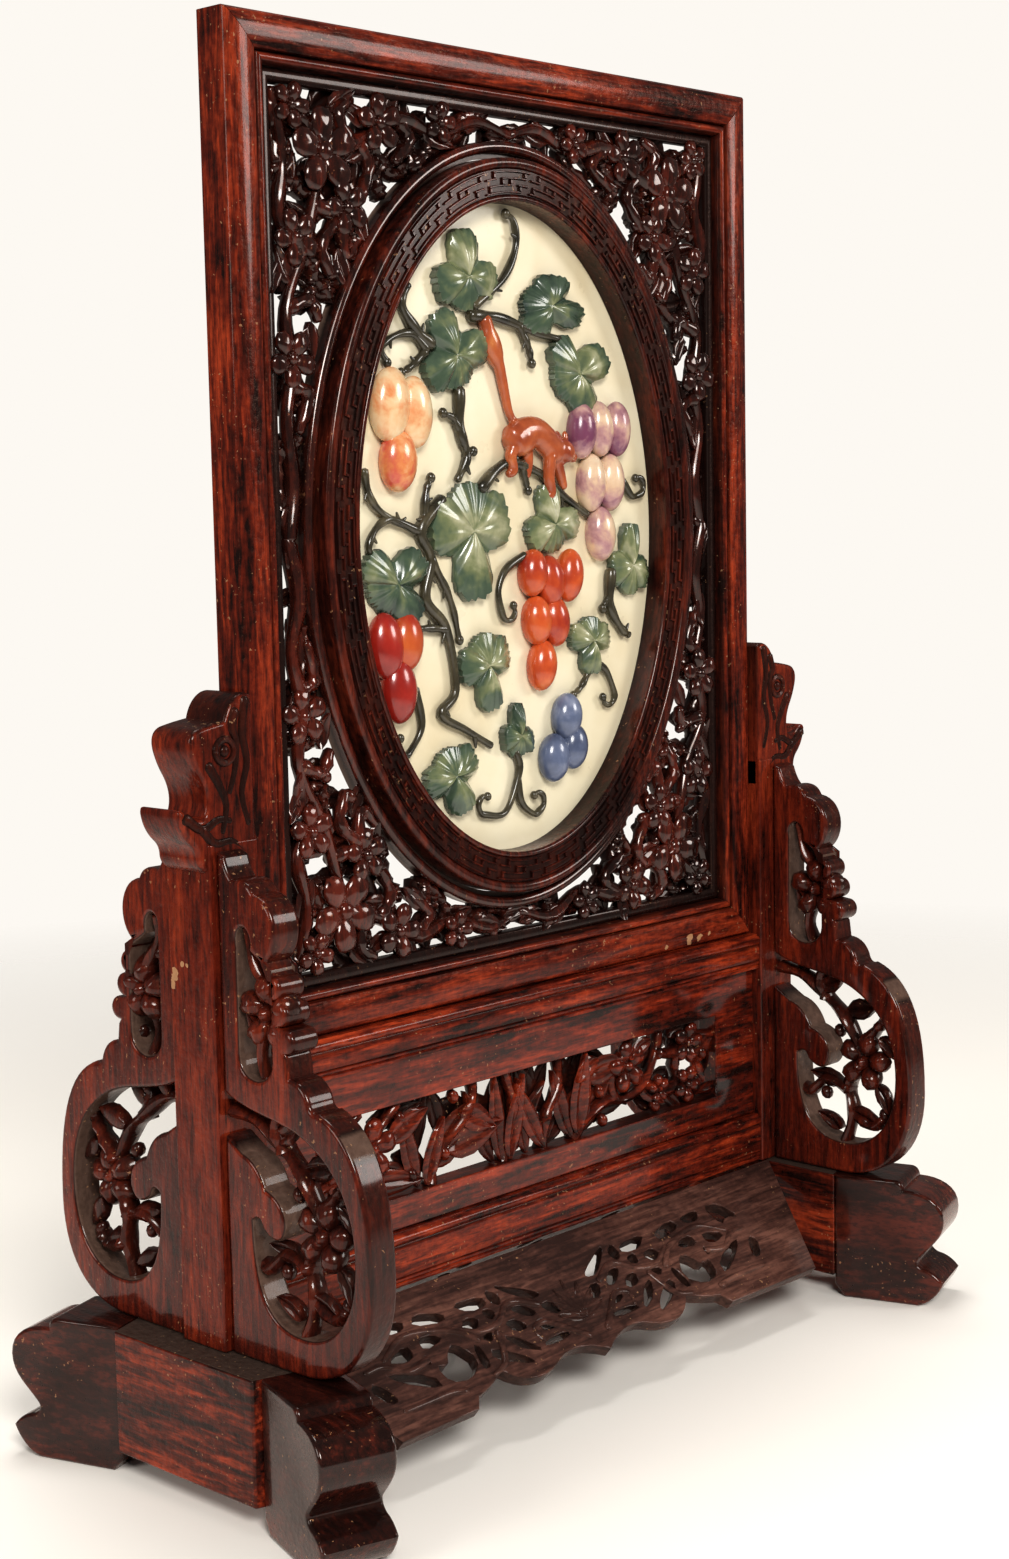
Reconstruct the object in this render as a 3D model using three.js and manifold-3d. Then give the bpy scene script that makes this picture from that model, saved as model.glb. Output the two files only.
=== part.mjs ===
// Carved hardwood table screen standing in its two-footed stand.
// Millimetres, +Z up, the front of the screen faces -Y.
// The origin lies on the table top, midway between the four feet.
import * as THREE from 'three';
import { mergeVertices } from 'three/addons/utils/BufferGeometryUtils.js';
import Module from 'manifold-3d';

const wasm = await Module();
wasm.setup();

// Driving dimensions
const JOINT = 0.3;

const SCREEN_WIDTH = 320;
const SCREEN_BOTTOM = 176;
const SCREEN_TOP = 577;
const FRAME_THICKNESS = 17;
const FRAME_FACE = 19.4;
const BEAD_START = 14.6;
const MITRE_GAP = 0.15;

const PANEL_FRONT = -3;
const PANEL_BACK = 4;
const PANEL_STRIP = 5.6;
const FLOWER_RISE = 1.6;
const BORDER_RISE = 0.6;

const OVAL_SEGMENTS = 32;
const STONE_HALF_WIDTH = 97.7;
const STONE_HALF_HEIGHT = 139.8;
const STONE_FRONT = 3;
const STONE_BACK = 7;
const STONE_REBATE = 1.9;
const RING_FACE = 18.2;
const RING_FRONT = -9;
const RING_BACK = 8;
const RIM_GROOVE = 2.3;
const RIM_FACE = 5;
const KEY_COUNT = 22;
const KEY_RISE = 0.9;

const STEM_RADIUS = 1.9;
const LEAF_BACK = 2.8;
const LEAF_EDGE = -1.6;
const LEAF_CROWN = -3.4;
const FRUIT_DEPTH = 6.4;
const FRUIT_CENTRE = 0.8;

const FOOT_INNER = 165;
const FOOT_OUTER = 198;
const FOOT_HEIGHT = 61;
const FOOT_ARCH = 10;
const FOOT_SEAM = 53.2;
const TOE_WIDTH = 31.4;
const TOE_SPLAY = THREE.MathUtils.degToRad(18.2);

const POST_INNER = 161;
const POST_OUTER = 186;
const POST_HALF_DEPTH = 13;
const POST_SHOULDER = 262;
const HEAD_HALF_DEPTH = 12.4;
const EYE_OUT = 176;
const EYE_HEIGHT = 297;
const EYE_RADIUS = 5;
const EYE_THICKNESS = 2.4;

const BRACKET_INNER = 169.5;
const BRACKET_OUTER = 183.5;
const BRACKET_REACH = 80.7;
const INFILL_INSET = 2;

const RAIL_HALF_DEPTH = 12.5;
const LOWER_RAIL_TOP = 85.2;
const UPPER_RAIL_BOTTOM = 158.7;
const WAIST_FRONT = -8;
const WAIST_BACK = 3;
const WAIST_HALF_APERTURE = 131;
const WAIST_APERTURE_BOTTOM = 99.5;
const WAIST_APERTURE_TOP = 139.3;

const APRON_TOP_DEPTH = 14;
const APRON_TOP_HEIGHT = 62;
const APRON_TILT = THREE.MathUtils.degToRad(50.9);
const APRON_LENGTH = 61.5;
const APRON_THICKNESS = 6;
const APRON_TOP_HALF = 164.4;
const APRON_FOOT_HALF = 138;
const APRON_MOTIF_SHIFT = -10;

const SCREEN_MID = (SCREEN_BOTTOM + SCREEN_TOP) / 2;
const PANEL_HALF_WIDTH = SCREEN_WIDTH / 2 - FRAME_FACE - JOINT;
const PANEL_HALF_HEIGHT = (SCREEN_TOP - SCREEN_BOTTOM) / 2 - FRAME_FACE - JOINT;
const OPENING_HALF_WIDTH = PANEL_HALF_WIDTH - PANEL_STRIP;
const OPENING_HALF_HEIGHT = PANEL_HALF_HEIGHT - PANEL_STRIP;
const RIM_INNER = RING_FACE + RIM_GROOVE;
const RIM_OUTER = RIM_INNER + RIM_FACE;

// Finishes
const finish = (color, roughness) => new THREE.MeshStandardMaterial({ color, roughness, metalness: 0 });
const ROSEWOOD = '#4a1710';
const DARK_ROSEWOOD = '#2e0f0b';
const APRON_WOOD = '#33201b';
const PALE_STONE = '#dcd7b4';
const LEAF_STONE = '#5d6f4a';
const STEM_STONE = '#3b3d33';

// Solids from three.js geometry and back
function toSolid(geometry) {
  const loose = geometry.clone();
  loose.deleteAttribute('normal');
  loose.deleteAttribute('uv');
  const merged = mergeVertices(loose, 1e-4);
  const vertProperties = new Float32Array(merged.getAttribute('position').array);
  const triVerts = new Uint32Array(merged.getIndex().array);
  return new wasm.Manifold(new wasm.Mesh({ numProp: 3, vertProperties, triVerts }));
}

function toGeometry(solid) {
  const mesh = solid.getMesh();
  const geometry = new THREE.BufferGeometry();
  const position = new THREE.BufferAttribute(new Float32Array(mesh.vertProperties), 3);
  geometry.setAttribute('position', position);
  geometry.setIndex(new THREE.BufferAttribute(new Uint32Array(mesh.triVerts), 1));
  geometry.computeVertexNormals();
  return geometry;
}

const joinAll = (solids) => solids.reduce((whole, solid) => whole.add(solid));
const cutAll = (solid, cutters) => cutters.reduce((rest, cutter) => rest.subtract(cutter), solid);

function piece(name, solid, color, roughness = 0.4) {
  const mesh = new THREE.Mesh(toGeometry(solid), finish(color, roughness));
  mesh.name = name;
  return mesh;
}

// Plates: an outline drawn in X and Z between two depths, or in Y and Z between two X values
const point = (x, y) => new THREE.Vector2(x, y);

function outline(points, holes = []) {
  const shape = new THREE.Shape(points);
  shape.holes = holes.map((hole) => new THREE.Path(hole));
  return shape;
}

function slab(shape, front, back, curveSegments = 5) {
  const options = { depth: back - front, bevelEnabled: false, curveSegments };
  const geometry = new THREE.ExtrudeGeometry(shape, options);
  geometry.rotateX(Math.PI / 2);
  geometry.translate(0, back, 0);
  return toSolid(geometry);
}

const SIDEWAYS = new THREE.Matrix4().makeBasis(
  new THREE.Vector3(0, 1, 0),
  new THREE.Vector3(0, 0, 1),
  new THREE.Vector3(1, 0, 0),
);

function sidePlate(shape, start, end, curveSegments = 4) {
  const options = { depth: end - start, bevelEnabled: false, curveSegments };
  const geometry = new THREE.ExtrudeGeometry(shape, options);
  geometry.applyMatrix4(SIDEWAYS);
  geometry.translate(start, 0, 0);
  return toSolid(geometry);
}

function box(x0, x1, y0, y1, z0, z1) {
  const geometry = new THREE.BoxGeometry(x1 - x0, y1 - y0, z1 - z0);
  geometry.translate((x0 + x1) / 2, (y0 + y1) / 2, (z0 + z1) / 2);
  return toSolid(geometry);
}

// Carved motifs as flat outlines: a stem that tapers, a five-petalled flower and a pointed leaf
function ribbon(knots, startWidth, endWidth, steps) {
  const curve = new THREE.SplineCurve(knots.map(([x, y]) => point(x, y)));
  const left = [];
  const right = [];
  for (let i = 0; i <= steps; i += 1) {
    const along = i / steps;
    const centre = curve.getPoint(along);
    const tangent = curve.getTangent(along);
    const half = THREE.MathUtils.lerp(startWidth, endWidth, along) / 2;
    left.push(point(centre.x - tangent.y * half, centre.y + tangent.x * half));
    right.unshift(point(centre.x + tangent.y * half, centre.y - tangent.x * half));
  }
  return outline([...left, ...right]);
}

function rosette(x, y, radius, turn = 0) {
  const petals = 5;
  const points = [];
  for (let i = 0; i < petals; i += 1) {
    const middle = turn + (i * 2 * Math.PI) / petals;
    for (const [offset, reach] of [[-Math.PI / petals, 0.62], [-0.3, 1], [0.3, 1]]) {
      const angle = middle + offset;
      points.push(point(x + radius * reach * Math.cos(angle), y + radius * reach * Math.sin(angle)));
    }
  }
  return outline(points);
}

function leafOutline(x, y, length, width, turn) {
  const half = width / 2;
  const local = [[0, 0], [0.4 * length, -half], [length, 0], [0.4 * length, half]];
  const centre = point(x, y);
  return outline(local.map(([u, v]) => point(x + u, y + v).rotateAround(centre, turn)));
}

// Screen frame: four mitred members of one moulding
function frameMember(name, length) {
  const back = FRAME_THICKNESS / 2;
  const front = -back;
  const moulding = outline([
    point(back, 0), point(back, FRAME_FACE),
    point(front + 3.2, FRAME_FACE), point(front + 1.2, FRAME_FACE - 1),
    point(front + 1.2, BEAD_START + 1.2), point(front + 2.6, BEAD_START + 0.6), point(front + 1, BEAD_START),
    point(front, BEAD_START - 5), point(front + 0.4, 3), point(front + 2, 0),
  ]);
  const half = length / 2 - MITRE_GAP;
  const mitres = outline([
    point(-half, 0), point(half, 0),
    point(half - FRAME_FACE, FRAME_FACE), point(FRAME_FACE - half, FRAME_FACE),
  ]);
  const bar = sidePlate(moulding, -length / 2, length / 2);
  return piece(name, bar.intersect(slab(mitres, front - 1, back + 1)), ROSEWOOD);
}

function screenFrame() {
  const height = SCREEN_TOP - SCREEN_BOTTOM;
  const half = SCREEN_WIDTH / 2;
  const members = [
    ['screen_rail_bottom', SCREEN_WIDTH, 0, SCREEN_BOTTOM, 0],
    ['screen_rail_top', SCREEN_WIDTH, 0, SCREEN_TOP, Math.PI],
    ['screen_stile_left', height, -half, SCREEN_MID, Math.PI / 2],
    ['screen_stile_right', height, half, SCREEN_MID, -Math.PI / 2],
  ];
  return members.map(([name, length, x, z, turn]) => {
    const member = frameMember(name, length);
    member.position.set(x, 0, z);
    member.rotation.y = turn;
    return member;
  });
}

// Ovals that run parallel to the edge of the stone
function ovalPoints(offset) {
  const points = [];
  for (let i = 0; i < OVAL_SEGMENTS; i += 1) {
    const angle = (i * 2 * Math.PI) / OVAL_SEGMENTS;
    const x = (STONE_HALF_WIDTH + offset) * Math.cos(angle);
    points.push(point(x, SCREEN_MID + (STONE_HALF_HEIGHT + offset) * Math.sin(angle)));
  }
  return points;
}

// One corner of the openwork: a prunus bough round the oval with twigs, blossoms, buds and leaves
function spray(sideX, sideZ) {
  const place = ([x, z]) => [sideX * x, SCREEN_MID + sideZ * z];
  const stem = (knots, start, end, steps) => {
    const run = ribbon(knots.map(place), start, end, steps);
    return slab(run, PANEL_FRONT, PANEL_BACK);
  };
  const flower = (x, z, radius, rise) => {
    const [px, pz] = place([x, z]);
    return slab(rosette(px, pz, radius, radius), PANEL_FRONT - rise, PANEL_BACK);
  };
  const leaf = (x, z, length, turn) => {
    const [px, pz] = place([x, z]);
    const angle = Math.atan2(sideZ * Math.sin(turn), sideX * Math.cos(turn));
    return slab(leafOutline(px, pz, length, length * 0.5, angle), PANEL_FRONT, PANEL_BACK);
  };
  const bough = [[128, -1], [130, 24], [125, 50], [130, 80], [98, 146], [68, 167], [34, 163], [0, 170]];
  const stems = [
    stem(bough, 4.4, 4.4, 9),
    stem([[122, 100], [133, 122], [119, 144], [137, 168]], 3.8, 3.4, 3),
    stem([[112, 128], [94, 130], [92, 112]], 3.8, 3.4, 2),
  ];
  const flowers = [flower(107, 154, 13, FLOWER_RISE), flower(127, 66, 9, 0), flower(75, 166, 9, 0)];
  const leaves = [
    leaf(114, 164, 22, 0.6), leaf(88, 152, 24, 1.5), leaf(34, 156, 22, 1.1),
    leaf(116, 86, 22, 0.9), leaf(119, 30, 17, 0.5),
  ];
  return [...stems, ...flowers, ...leaves];
}

function openworkPanel() {
  const rectangle = (halfWidth, halfHeight) => [
    point(-halfWidth, SCREEN_MID - halfHeight), point(halfWidth, SCREEN_MID - halfHeight),
    point(halfWidth, SCREEN_MID + halfHeight), point(-halfWidth, SCREEN_MID + halfHeight),
  ];
  const strips = outline(
    rectangle(PANEL_HALF_WIDTH, PANEL_HALF_HEIGHT),
    [rectangle(OPENING_HALF_WIDTH, OPENING_HALF_HEIGHT)],
  );
  const rim = outline(ovalPoints(RIM_OUTER), [ovalPoints(RIM_INNER)]);
  const ledge = outline(ovalPoints(RIM_OUTER), [ovalPoints(RING_FACE + JOINT)]);
  const clearing = slab(outline(ovalPoints(RIM_INNER + 1)), PANEL_FRONT - FLOWER_RISE - 1, PANEL_BACK + 1);
  const carving = [-1, 1].flatMap((sideX) => [-1, 1].flatMap((sideZ) => spray(sideX, sideZ)));
  const foliage = joinAll([slab(strips, PANEL_FRONT - BORDER_RISE, PANEL_BACK), ...carving]);
  const border = slab(outline(rectangle(PANEL_HALF_WIDTH, PANEL_HALF_HEIGHT)), PANEL_FRONT - 9, PANEL_BACK);
  const open = foliage.intersect(border).subtract(clearing);
  const solid = joinAll([open, slab(rim, PANEL_FRONT - BORDER_RISE, 0.5), slab(ledge, 0, PANEL_BACK)]);
  return piece('openwork_panel', solid, DARK_ROSEWOOD, 0.3);
}

// Raised oval frame of the stone with a key fret on its face
function ovalRing(profile) {
  const round = 500;
  const loop = [...profile, profile[0]].map(([offset, depth]) => point(round + offset, depth));
  const geometry = new THREE.LatheGeometry(loop, OVAL_SEGMENTS);
  const position = geometry.getAttribute('position');
  for (let i = 0; i < position.count; i += 1) {
    const radius = Math.hypot(position.getX(i), position.getZ(i));
    const x = ((STONE_HALF_WIDTH + radius - round) * position.getX(i)) / radius;
    const z = ((STONE_HALF_HEIGHT + radius - round) * position.getZ(i)) / radius;
    position.setXYZ(i, x, position.getY(i), SCREEN_MID + z);
  }
  return toSolid(geometry);
}

function evenAngles(offset, count) {
  const fine = 720;
  const speed = (angle) => Math.hypot(
    (STONE_HALF_WIDTH + offset) * Math.sin(angle),
    (STONE_HALF_HEIGHT + offset) * Math.cos(angle),
  );
  const step = (2 * Math.PI) / fine;
  let total = 0;
  for (let i = 0; i < fine; i += 1) {
    total += speed(i * step) * step;
  }
  const angles = [];
  let travelled = 0;
  for (let i = 0; i < fine; i += 1) {
    if (travelled >= (angles.length * total) / count) {
      angles.push({ angle: i * step, speed: speed(i * step) });
    }
    travelled += speed(i * step) * step;
  }
  return angles.slice(0, count);
}

function keyFret() {
  const inner = 4.4;
  const outer = 11.8;
  const bar = 2;
  const reach = 10.5;
  const key = [
    [-reach, outer], [bar / 2, outer], [bar / 2, inner + bar], [reach, inner + bar],
    [reach, inner], [-bar / 2, inner], [-bar / 2, outer - bar], [-reach, outer - bar],
  ];
  return evenAngles((inner + outer) / 2, KEY_COUNT).map(({ angle, speed }) => {
    const bend = ([along, across]) => {
      const turned = angle + along / speed;
      const x = (STONE_HALF_WIDTH + across) * Math.cos(turned);
      return point(x, SCREEN_MID + (STONE_HALF_HEIGHT + across) * Math.sin(turned));
    };
    return slab(outline(key.map(bend)), RING_FRONT, RING_FRONT + KEY_RISE + 1);
  });
}

function fretRing() {
  const sunk = RING_FRONT + KEY_RISE;
  const profile = [
    [0, RING_FRONT], [2.8, sunk], [13.2, sunk], [14.6, RING_FRONT], [RING_FACE, RING_FRONT + 1.2],
    [RING_FACE, RING_BACK], [STONE_REBATE, RING_BACK],
    [STONE_REBATE, STONE_FRONT - JOINT], [0, STONE_FRONT - JOINT],
  ];
  return piece('fret_ring', joinAll([ovalRing(profile), ...keyFret()]), ROSEWOOD, 0.35);
}

function stonePlaque() {
  const oval = outline(ovalPoints(STONE_REBATE - JOINT));
  return piece('stone_plaque', slab(oval, STONE_FRONT, STONE_BACK), PALE_STONE, 0.35);
}

// Vine of carved hardstone laid on the plaque; places are X and Z on its face
function stemTube(knots, grow = 0) {
  const knotPoints = knots.map(([x, z]) => new THREE.Vector3(x, LEAF_BACK - STEM_RADIUS, z));
  const path = new THREE.CatmullRomCurve3(knotPoints);
  const sides = 4;
  const section = [];
  for (let i = 0; i < sides; i += 1) {
    const angle = (i * 2 * Math.PI) / sides;
    section.push(point((STEM_RADIUS + grow) * Math.cos(angle), (STEM_RADIUS + grow) * Math.sin(angle)));
  }
  const options = { steps: knots.length, bevelEnabled: false, extrudePath: path };
  return toSolid(new THREE.ExtrudeGeometry(outline(section), options));
}

const plaqueFace = box(-200, 200, -40, LEAF_BACK, 0, 700);

// Each vine is one stem with the tendrils that spring from it
const VINES = {
  vine_top: [
    [[-14, 474], [2, 490], [8, 502], [1, 512]],
    [[-16, 472], [6, 466], [28, 458]],
  ],
  vine_left: [
    [[-52, 457], [-57, 462], [-62, 478]],
    [[-53, 458], [-66, 461], [-75, 455], [-72, 447]],
  ],
  vine_upper_stem: [[[-31, 435], [-31, 422], [-26, 409], [-30, 401]]],
  vine_main: [
    [[-45, 390], [-53, 378], [-50, 360], [-38, 338], [-36, 312], [-41, 300], [-16, 285]],
    [[-53, 376], [-74, 384], [-85, 374], [-79, 367]],
    [[-70, 383], [-82, 391], [-87, 402]],
  ],
  vine_branch: [[[-10, 401], [6, 405], [22, 399], [38, 390]]],
  tendril_right: [[[74, 390], [82, 396], [89, 391]]],
  tendril_orange: [[[10, 368], [-3, 361], [-8, 350], [-6, 340]]],
  vine_right: [[[68, 356], [64, 342], [70, 332], [78, 328]]],
  tendril_blue: [[[62, 316], [66, 311], [70, 302]]],
  tendril_foot: [[[1, 275], [0, 262], [-14, 253], [-25, 262]], [[1, 266], [6, 254], [14, 252]]],
  tendril_left: [[[-58, 304], [-58, 292], [-64, 286]]],
};

// Serrated three-lobed leaves: place, half width, half height and the turn of the middle lobe
const LEAVES = [
  [-25, 486, 18, 18, 1.6], [-34, 452, 19, 18, 1.2], [28, 473, 22, 13, -0.3], [45, 446, 21, 17, 0.2],
  [-24, 378, 24, 28, 1.5], [-71, 356, 20, 17, 0.5], [27, 380, 16, 16, 1.7], [80, 359, 11, 17, 1.3],
  [-17, 319, 15, 19, 1.5], [52, 327, 13, 14, 1.5], [2, 288, 8, 13, 1.6], [-39, 273, 16, 17, 1.5],
];

function leafSolid([x, z, halfWidth, halfHeight, turn], grow = 0) {
  const teeth = 12;
  const rim = [];
  for (let i = 0; i < teeth; i += 1) {
    const angle = (i * 2 * Math.PI) / teeth;
    const reach = 0.82 + 0.14 * Math.cos(3 * angle) + (i % 2 ? 0.05 : -0.05);
    const turned = angle + turn;
    const across = (halfWidth * reach + grow) * Math.cos(turned);
    rim.push(point(x + across, z + (halfHeight * reach + grow) * Math.sin(turned)));
  }
  const plate = slab(outline(rim), LEAF_EDGE - grow, LEAF_BACK);
  const crown = new THREE.ConeGeometry(1, LEAF_EDGE - LEAF_CROWN, 5);
  crown.rotateX(Math.PI);
  crown.scale(halfWidth * 0.62 + grow, 1, halfHeight * 0.62 + grow);
  crown.translate(x, (LEAF_EDGE + LEAF_CROWN) / 2 + JOINT - grow, z);
  return plate.add(toSolid(crown));
}

// Fruit: place, half width and half height of each berry in a bunch
const BUNCHES = {
  fruit_peach: { color: '#d9a15f', berries: [[-71, 430, 10, 15], [-57, 428, 8.5, 14.5], [-67, 406, 9, 12]] },
  fruit_purple: {
    color: '#b99a9a',
    berries: [
      [47, 419, 7.6, 13], [59, 420, 7.4, 12.6], [71, 419, 7.4, 12.6],
      [53, 397, 8, 13], [66, 397, 7.6, 13], [59, 378, 8.4, 14],
    ],
  },
  fruit_orange: {
    color: '#c2491d',
    berries: [
      [14, 357, 7.8, 10.5], [26, 354, 7.4, 11], [38, 356, 7, 11],
      [16, 337, 8, 11.5], [28, 336, 7.6, 11], [19, 317, 7.8, 11.5],
    ],
  },
  fruit_red: { color: '#a02015', berries: [[-78, 330, 9, 14], [-66, 331, 8, 11.5], [-71, 310, 9, 13.5]] },
  fruit_blue: {
    color: '#6a7490',
    berries: [[34, 293, 8.4, 10.5], [38, 279, 7.6, 9.5], [25, 275, 8.4, 10.5]],
  },
};

function egg(x, z, halfWidth, halfHeight, halfDepth = FRUIT_DEPTH, turn = 0) {
  const geometry = new THREE.SphereGeometry(1, 6, 4);
  geometry.rotateX(Math.PI / 2);
  geometry.scale(halfWidth, halfDepth, halfHeight);
  geometry.rotateY(turn);
  geometry.translate(x, FRUIT_CENTRE, z);
  return toSolid(geometry);
}

function squirrel() {
  const parts = [
    egg(13, 420, 15, 8, 5.5, 0.45),
    egg(32, 412, 8.5, 5.6, 5, 0.2),
    egg(-1, 431, 4.6, 11, 4, -0.4),
    egg(-8, 449, 4.4, 14, 4, -0.4),
    egg(3, 413, 3.4, 6.5, 4, 0.3),
    egg(26, 406, 2.8, 7, 4, -0.35),
  ];
  return joinAll(parts);
}

function hardstoneVine() {
  const stems = Object.entries(VINES).map(([name, runs]) => ({
    name,
    solid: joinAll(runs.map((run) => stemTube(run))),
    room: joinAll(runs.map((run) => stemTube(run, JOINT))),
  }));
  const stemRooms = stems.map(({ room }) => room);
  const leaves = LEAVES.map((leaf, index) => ({
    name: `leaf_${index + 1}`,
    solid: cutAll(leafSolid(leaf), stemRooms),
    room: leafSolid(leaf, JOINT),
  }));
  const taken = [...stemRooms, ...leaves.map(({ room }) => room)];
  const fruit = Object.entries(BUNCHES).map(([name, { color, berries }]) => {
    const bunch = joinAll(berries.map(([x, z, width, height]) => egg(x, z, width, height)));
    return piece(name, cutAll(bunch.intersect(plaqueFace), taken), color, 0.25);
  });
  const animal = cutAll(squirrel().intersect(plaqueFace), taken);
  return [
    ...stems.map(({ name, solid }) => piece(name, solid, STEM_STONE)),
    ...leaves.map(({ name, solid }) => piece(name, solid, LEAF_STONE)),
    ...fruit,
    piece('squirrel', animal, '#9c4a22', 0.3),
  ];
}

// Feet: a middle bar and two splayed toe blocks on each side
function footBar(name, side) {
  const seamSlope = Math.tan(TOE_SPLAY) * (FOOT_OUTER - FOOT_INNER);
  const innerEnd = FOOT_SEAM - JOINT / 2;
  const outerEnd = innerEnd - seamSlope;
  const plan = outline([
    point(side * FOOT_INNER, -innerEnd), point(side * FOOT_OUTER, -outerEnd),
    point(side * FOOT_OUTER, outerEnd), point(side * FOOT_INNER, innerEnd),
  ]);
  const geometry = new THREE.ExtrudeGeometry(plan, { depth: FOOT_HEIGHT - FOOT_ARCH, bevelEnabled: false });
  geometry.translate(0, 0, FOOT_ARCH);
  return piece(name, toSolid(geometry), ROSEWOOD);
}

function toeBlock(name, sideX, sideY) {
  const seam = JOINT / 2;
  const profile = new THREE.Shape();
  profile.moveTo(sideY * seam, 6);
  profile.lineTo(sideY * 5, 0);
  profile.lineTo(sideY * 41, 0);
  profile.lineTo(sideY * 54, 13);
  profile.quadraticCurveTo(sideY * 50, 18, sideY * 44, 18.6);
  profile.quadraticCurveTo(sideY * 39, 21, sideY * 42, 24);
  profile.bezierCurveTo(sideY * 47, 30, sideY * 54, 34, sideY * 54, 43);
  profile.bezierCurveTo(sideY * 54, 53, sideY * 44, 56.6, sideY * 34.8, 56.6);
  profile.quadraticCurveTo(sideY * 34, FOOT_HEIGHT, sideY * 30, FOOT_HEIGHT);
  profile.lineTo(sideY * seam, FOOT_HEIGHT);
  const start = sideX > 0 ? 0 : -TOE_WIDTH;
  const block = piece(name, sidePlate(profile, start, start + TOE_WIDTH), DARK_ROSEWOOD);
  block.position.set(sideX * FOOT_INNER, sideY * FOOT_SEAM, 0);
  block.rotation.z = -sideX * sideY * TOE_SPLAY;
  return block;
}

// Posts, each topped by a beast's head that looks outwards
function headOutline(side) {
  const head = new THREE.Shape();
  const at = (x) => side * x;
  head.moveTo(at(POST_INNER), 250);
  head.lineTo(at(POST_INNER), 319);
  head.quadraticCurveTo(at(168), 318, at(174), 309);
  head.quadraticCurveTo(at(183), 307, at(190), 303.5);
  head.quadraticCurveTo(at(191), 298, at(188), 290);
  head.quadraticCurveTo(at(184), 281, at(187), 274.5);
  head.lineTo(at(198.5), 274.5);
  head.quadraticCurveTo(at(199), 268, at(192), 261);
  head.quadraticCurveTo(at(191), 255, at(189), 252);
  head.lineTo(at(180), 250);
  return head;
}

function post(name, side) {
  const inner = side * POST_INNER;
  const outer = side * POST_OUTER;
  const low = Math.min(inner, outer);
  const high = Math.max(inner, outer);
  const shaft = box(low, high, -POST_HALF_DEPTH, POST_HALF_DEPTH, FOOT_HEIGHT + JOINT, POST_SHOULDER);
  const head = slab(headOutline(side), -HEAD_HALF_DEPTH, HEAD_HALF_DEPTH);
  const details = [-1, 1].map((face) => {
    const eye = new THREE.CylinderGeometry(EYE_RADIUS, EYE_RADIUS, EYE_THICKNESS, 7);
    eye.translate(side * EYE_OUT, face * HEAD_HALF_DEPTH, EYE_HEIGHT);
    return toSolid(eye);
  });
  const mouth = [[side * 189, 274], [side * 178, 277], [side * 170, 284]];
  const jaw = [[side * 186, 256], [side * 176, 264], [side * 166, 266]];
  const grooves = [mouth, jaw].map((knots) => (
    slab(ribbon(knots, 2.4, 1.4, 2), -POST_HALF_DEPTH - 1, 1.4 - HEAD_HALF_DEPTH)
  ));
  return piece(name, cutAll(joinAll([shaft, head, ...details]), grooves), ROSEWOOD);
}

// Brackets: drawn outwards from the post; z is the height above the table
function bracketOutline() {
  const edge = new THREE.Shape();
  const base = FOOT_HEIGHT + JOINT;
  edge.moveTo(0, base);
  edge.lineTo(40, base);
  edge.bezierCurveTo(66, base, BRACKET_REACH, 78, BRACKET_REACH, 104);
  edge.bezierCurveTo(BRACKET_REACH, 144, 70, 160, 54, 165.5);
  edge.quadraticCurveTo(50, 164, 49, 169);
  edge.quadraticCurveTo(46, 176, 38.5, 176.5);
  edge.lineTo(37.5, 184);
  for (const [s, z] of [[36.5, 190], [32.5, 200], [29.5, 209.6]]) {
    edge.lineTo(s, z - 5);
    edge.bezierCurveTo(s + 7, z - 5, s + 7, z + 5, s, z + 5);
  }
  edge.lineTo(27, 219);
  edge.bezierCurveTo(36, 226, 34, 243, 21, 244.5);
  edge.quadraticCurveTo(18, 251, 9, 249);
  edge.quadraticCurveTo(6, 252, 4.5, 257.5);
  edge.lineTo(0, 259);
  return edge;
}

function bracketVoids() {
  const upper = new THREE.Shape();
  upper.moveTo(10.5, 222);
  upper.lineTo(10.5, 182);
  upper.bezierCurveTo(10.5, 170, 28, 170, 29, 181);
  upper.lineTo(29, 216);
  upper.lineTo(18, 222.5);
  upper.bezierCurveTo(20, 234, 8, 234, 10.5, 222);
  const lower = new THREE.Shape();
  lower.moveTo(-2, 166);
  lower.bezierCurveTo(14, 158, 36, 160, 49, 152);
  lower.bezierCurveTo(64, 144, 71.5, 130, 71.5, 112);
  lower.bezierCurveTo(71.5, 86, 56, 76, 41, 76.5);
  lower.bezierCurveTo(24, 77, 15, 88, 15, 117);
  lower.quadraticCurveTo(19, 121, 21, 115);
  lower.quadraticCurveTo(31, 107, 34, 118);
  lower.quadraticCurveTo(34, 128, 23, 131);
  lower.quadraticCurveTo(19, 141, 10, 143);
  lower.lineTo(-2, 150);
  return [upper, lower];
}

// Prunus in the two voids: stems and blossoms that touch the bracket on every side
const BRACKET_STEMS = [
  [[8, 216], [20, 210], [21, 168]],
  [[8, 160], [34, 142], [50, 118]],
  [[50, 116], [39, 98], [46, 73]],
  [[42, 100], [26, 104], [12, 98]],
];
const BRACKET_FLOWERS = [[22, 199, 10.6], [50, 117, 12.8]];
const BRACKET_LEAVES = [[40, 138, 30, 0.2], [41, 94, 34, 0.1]];

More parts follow.
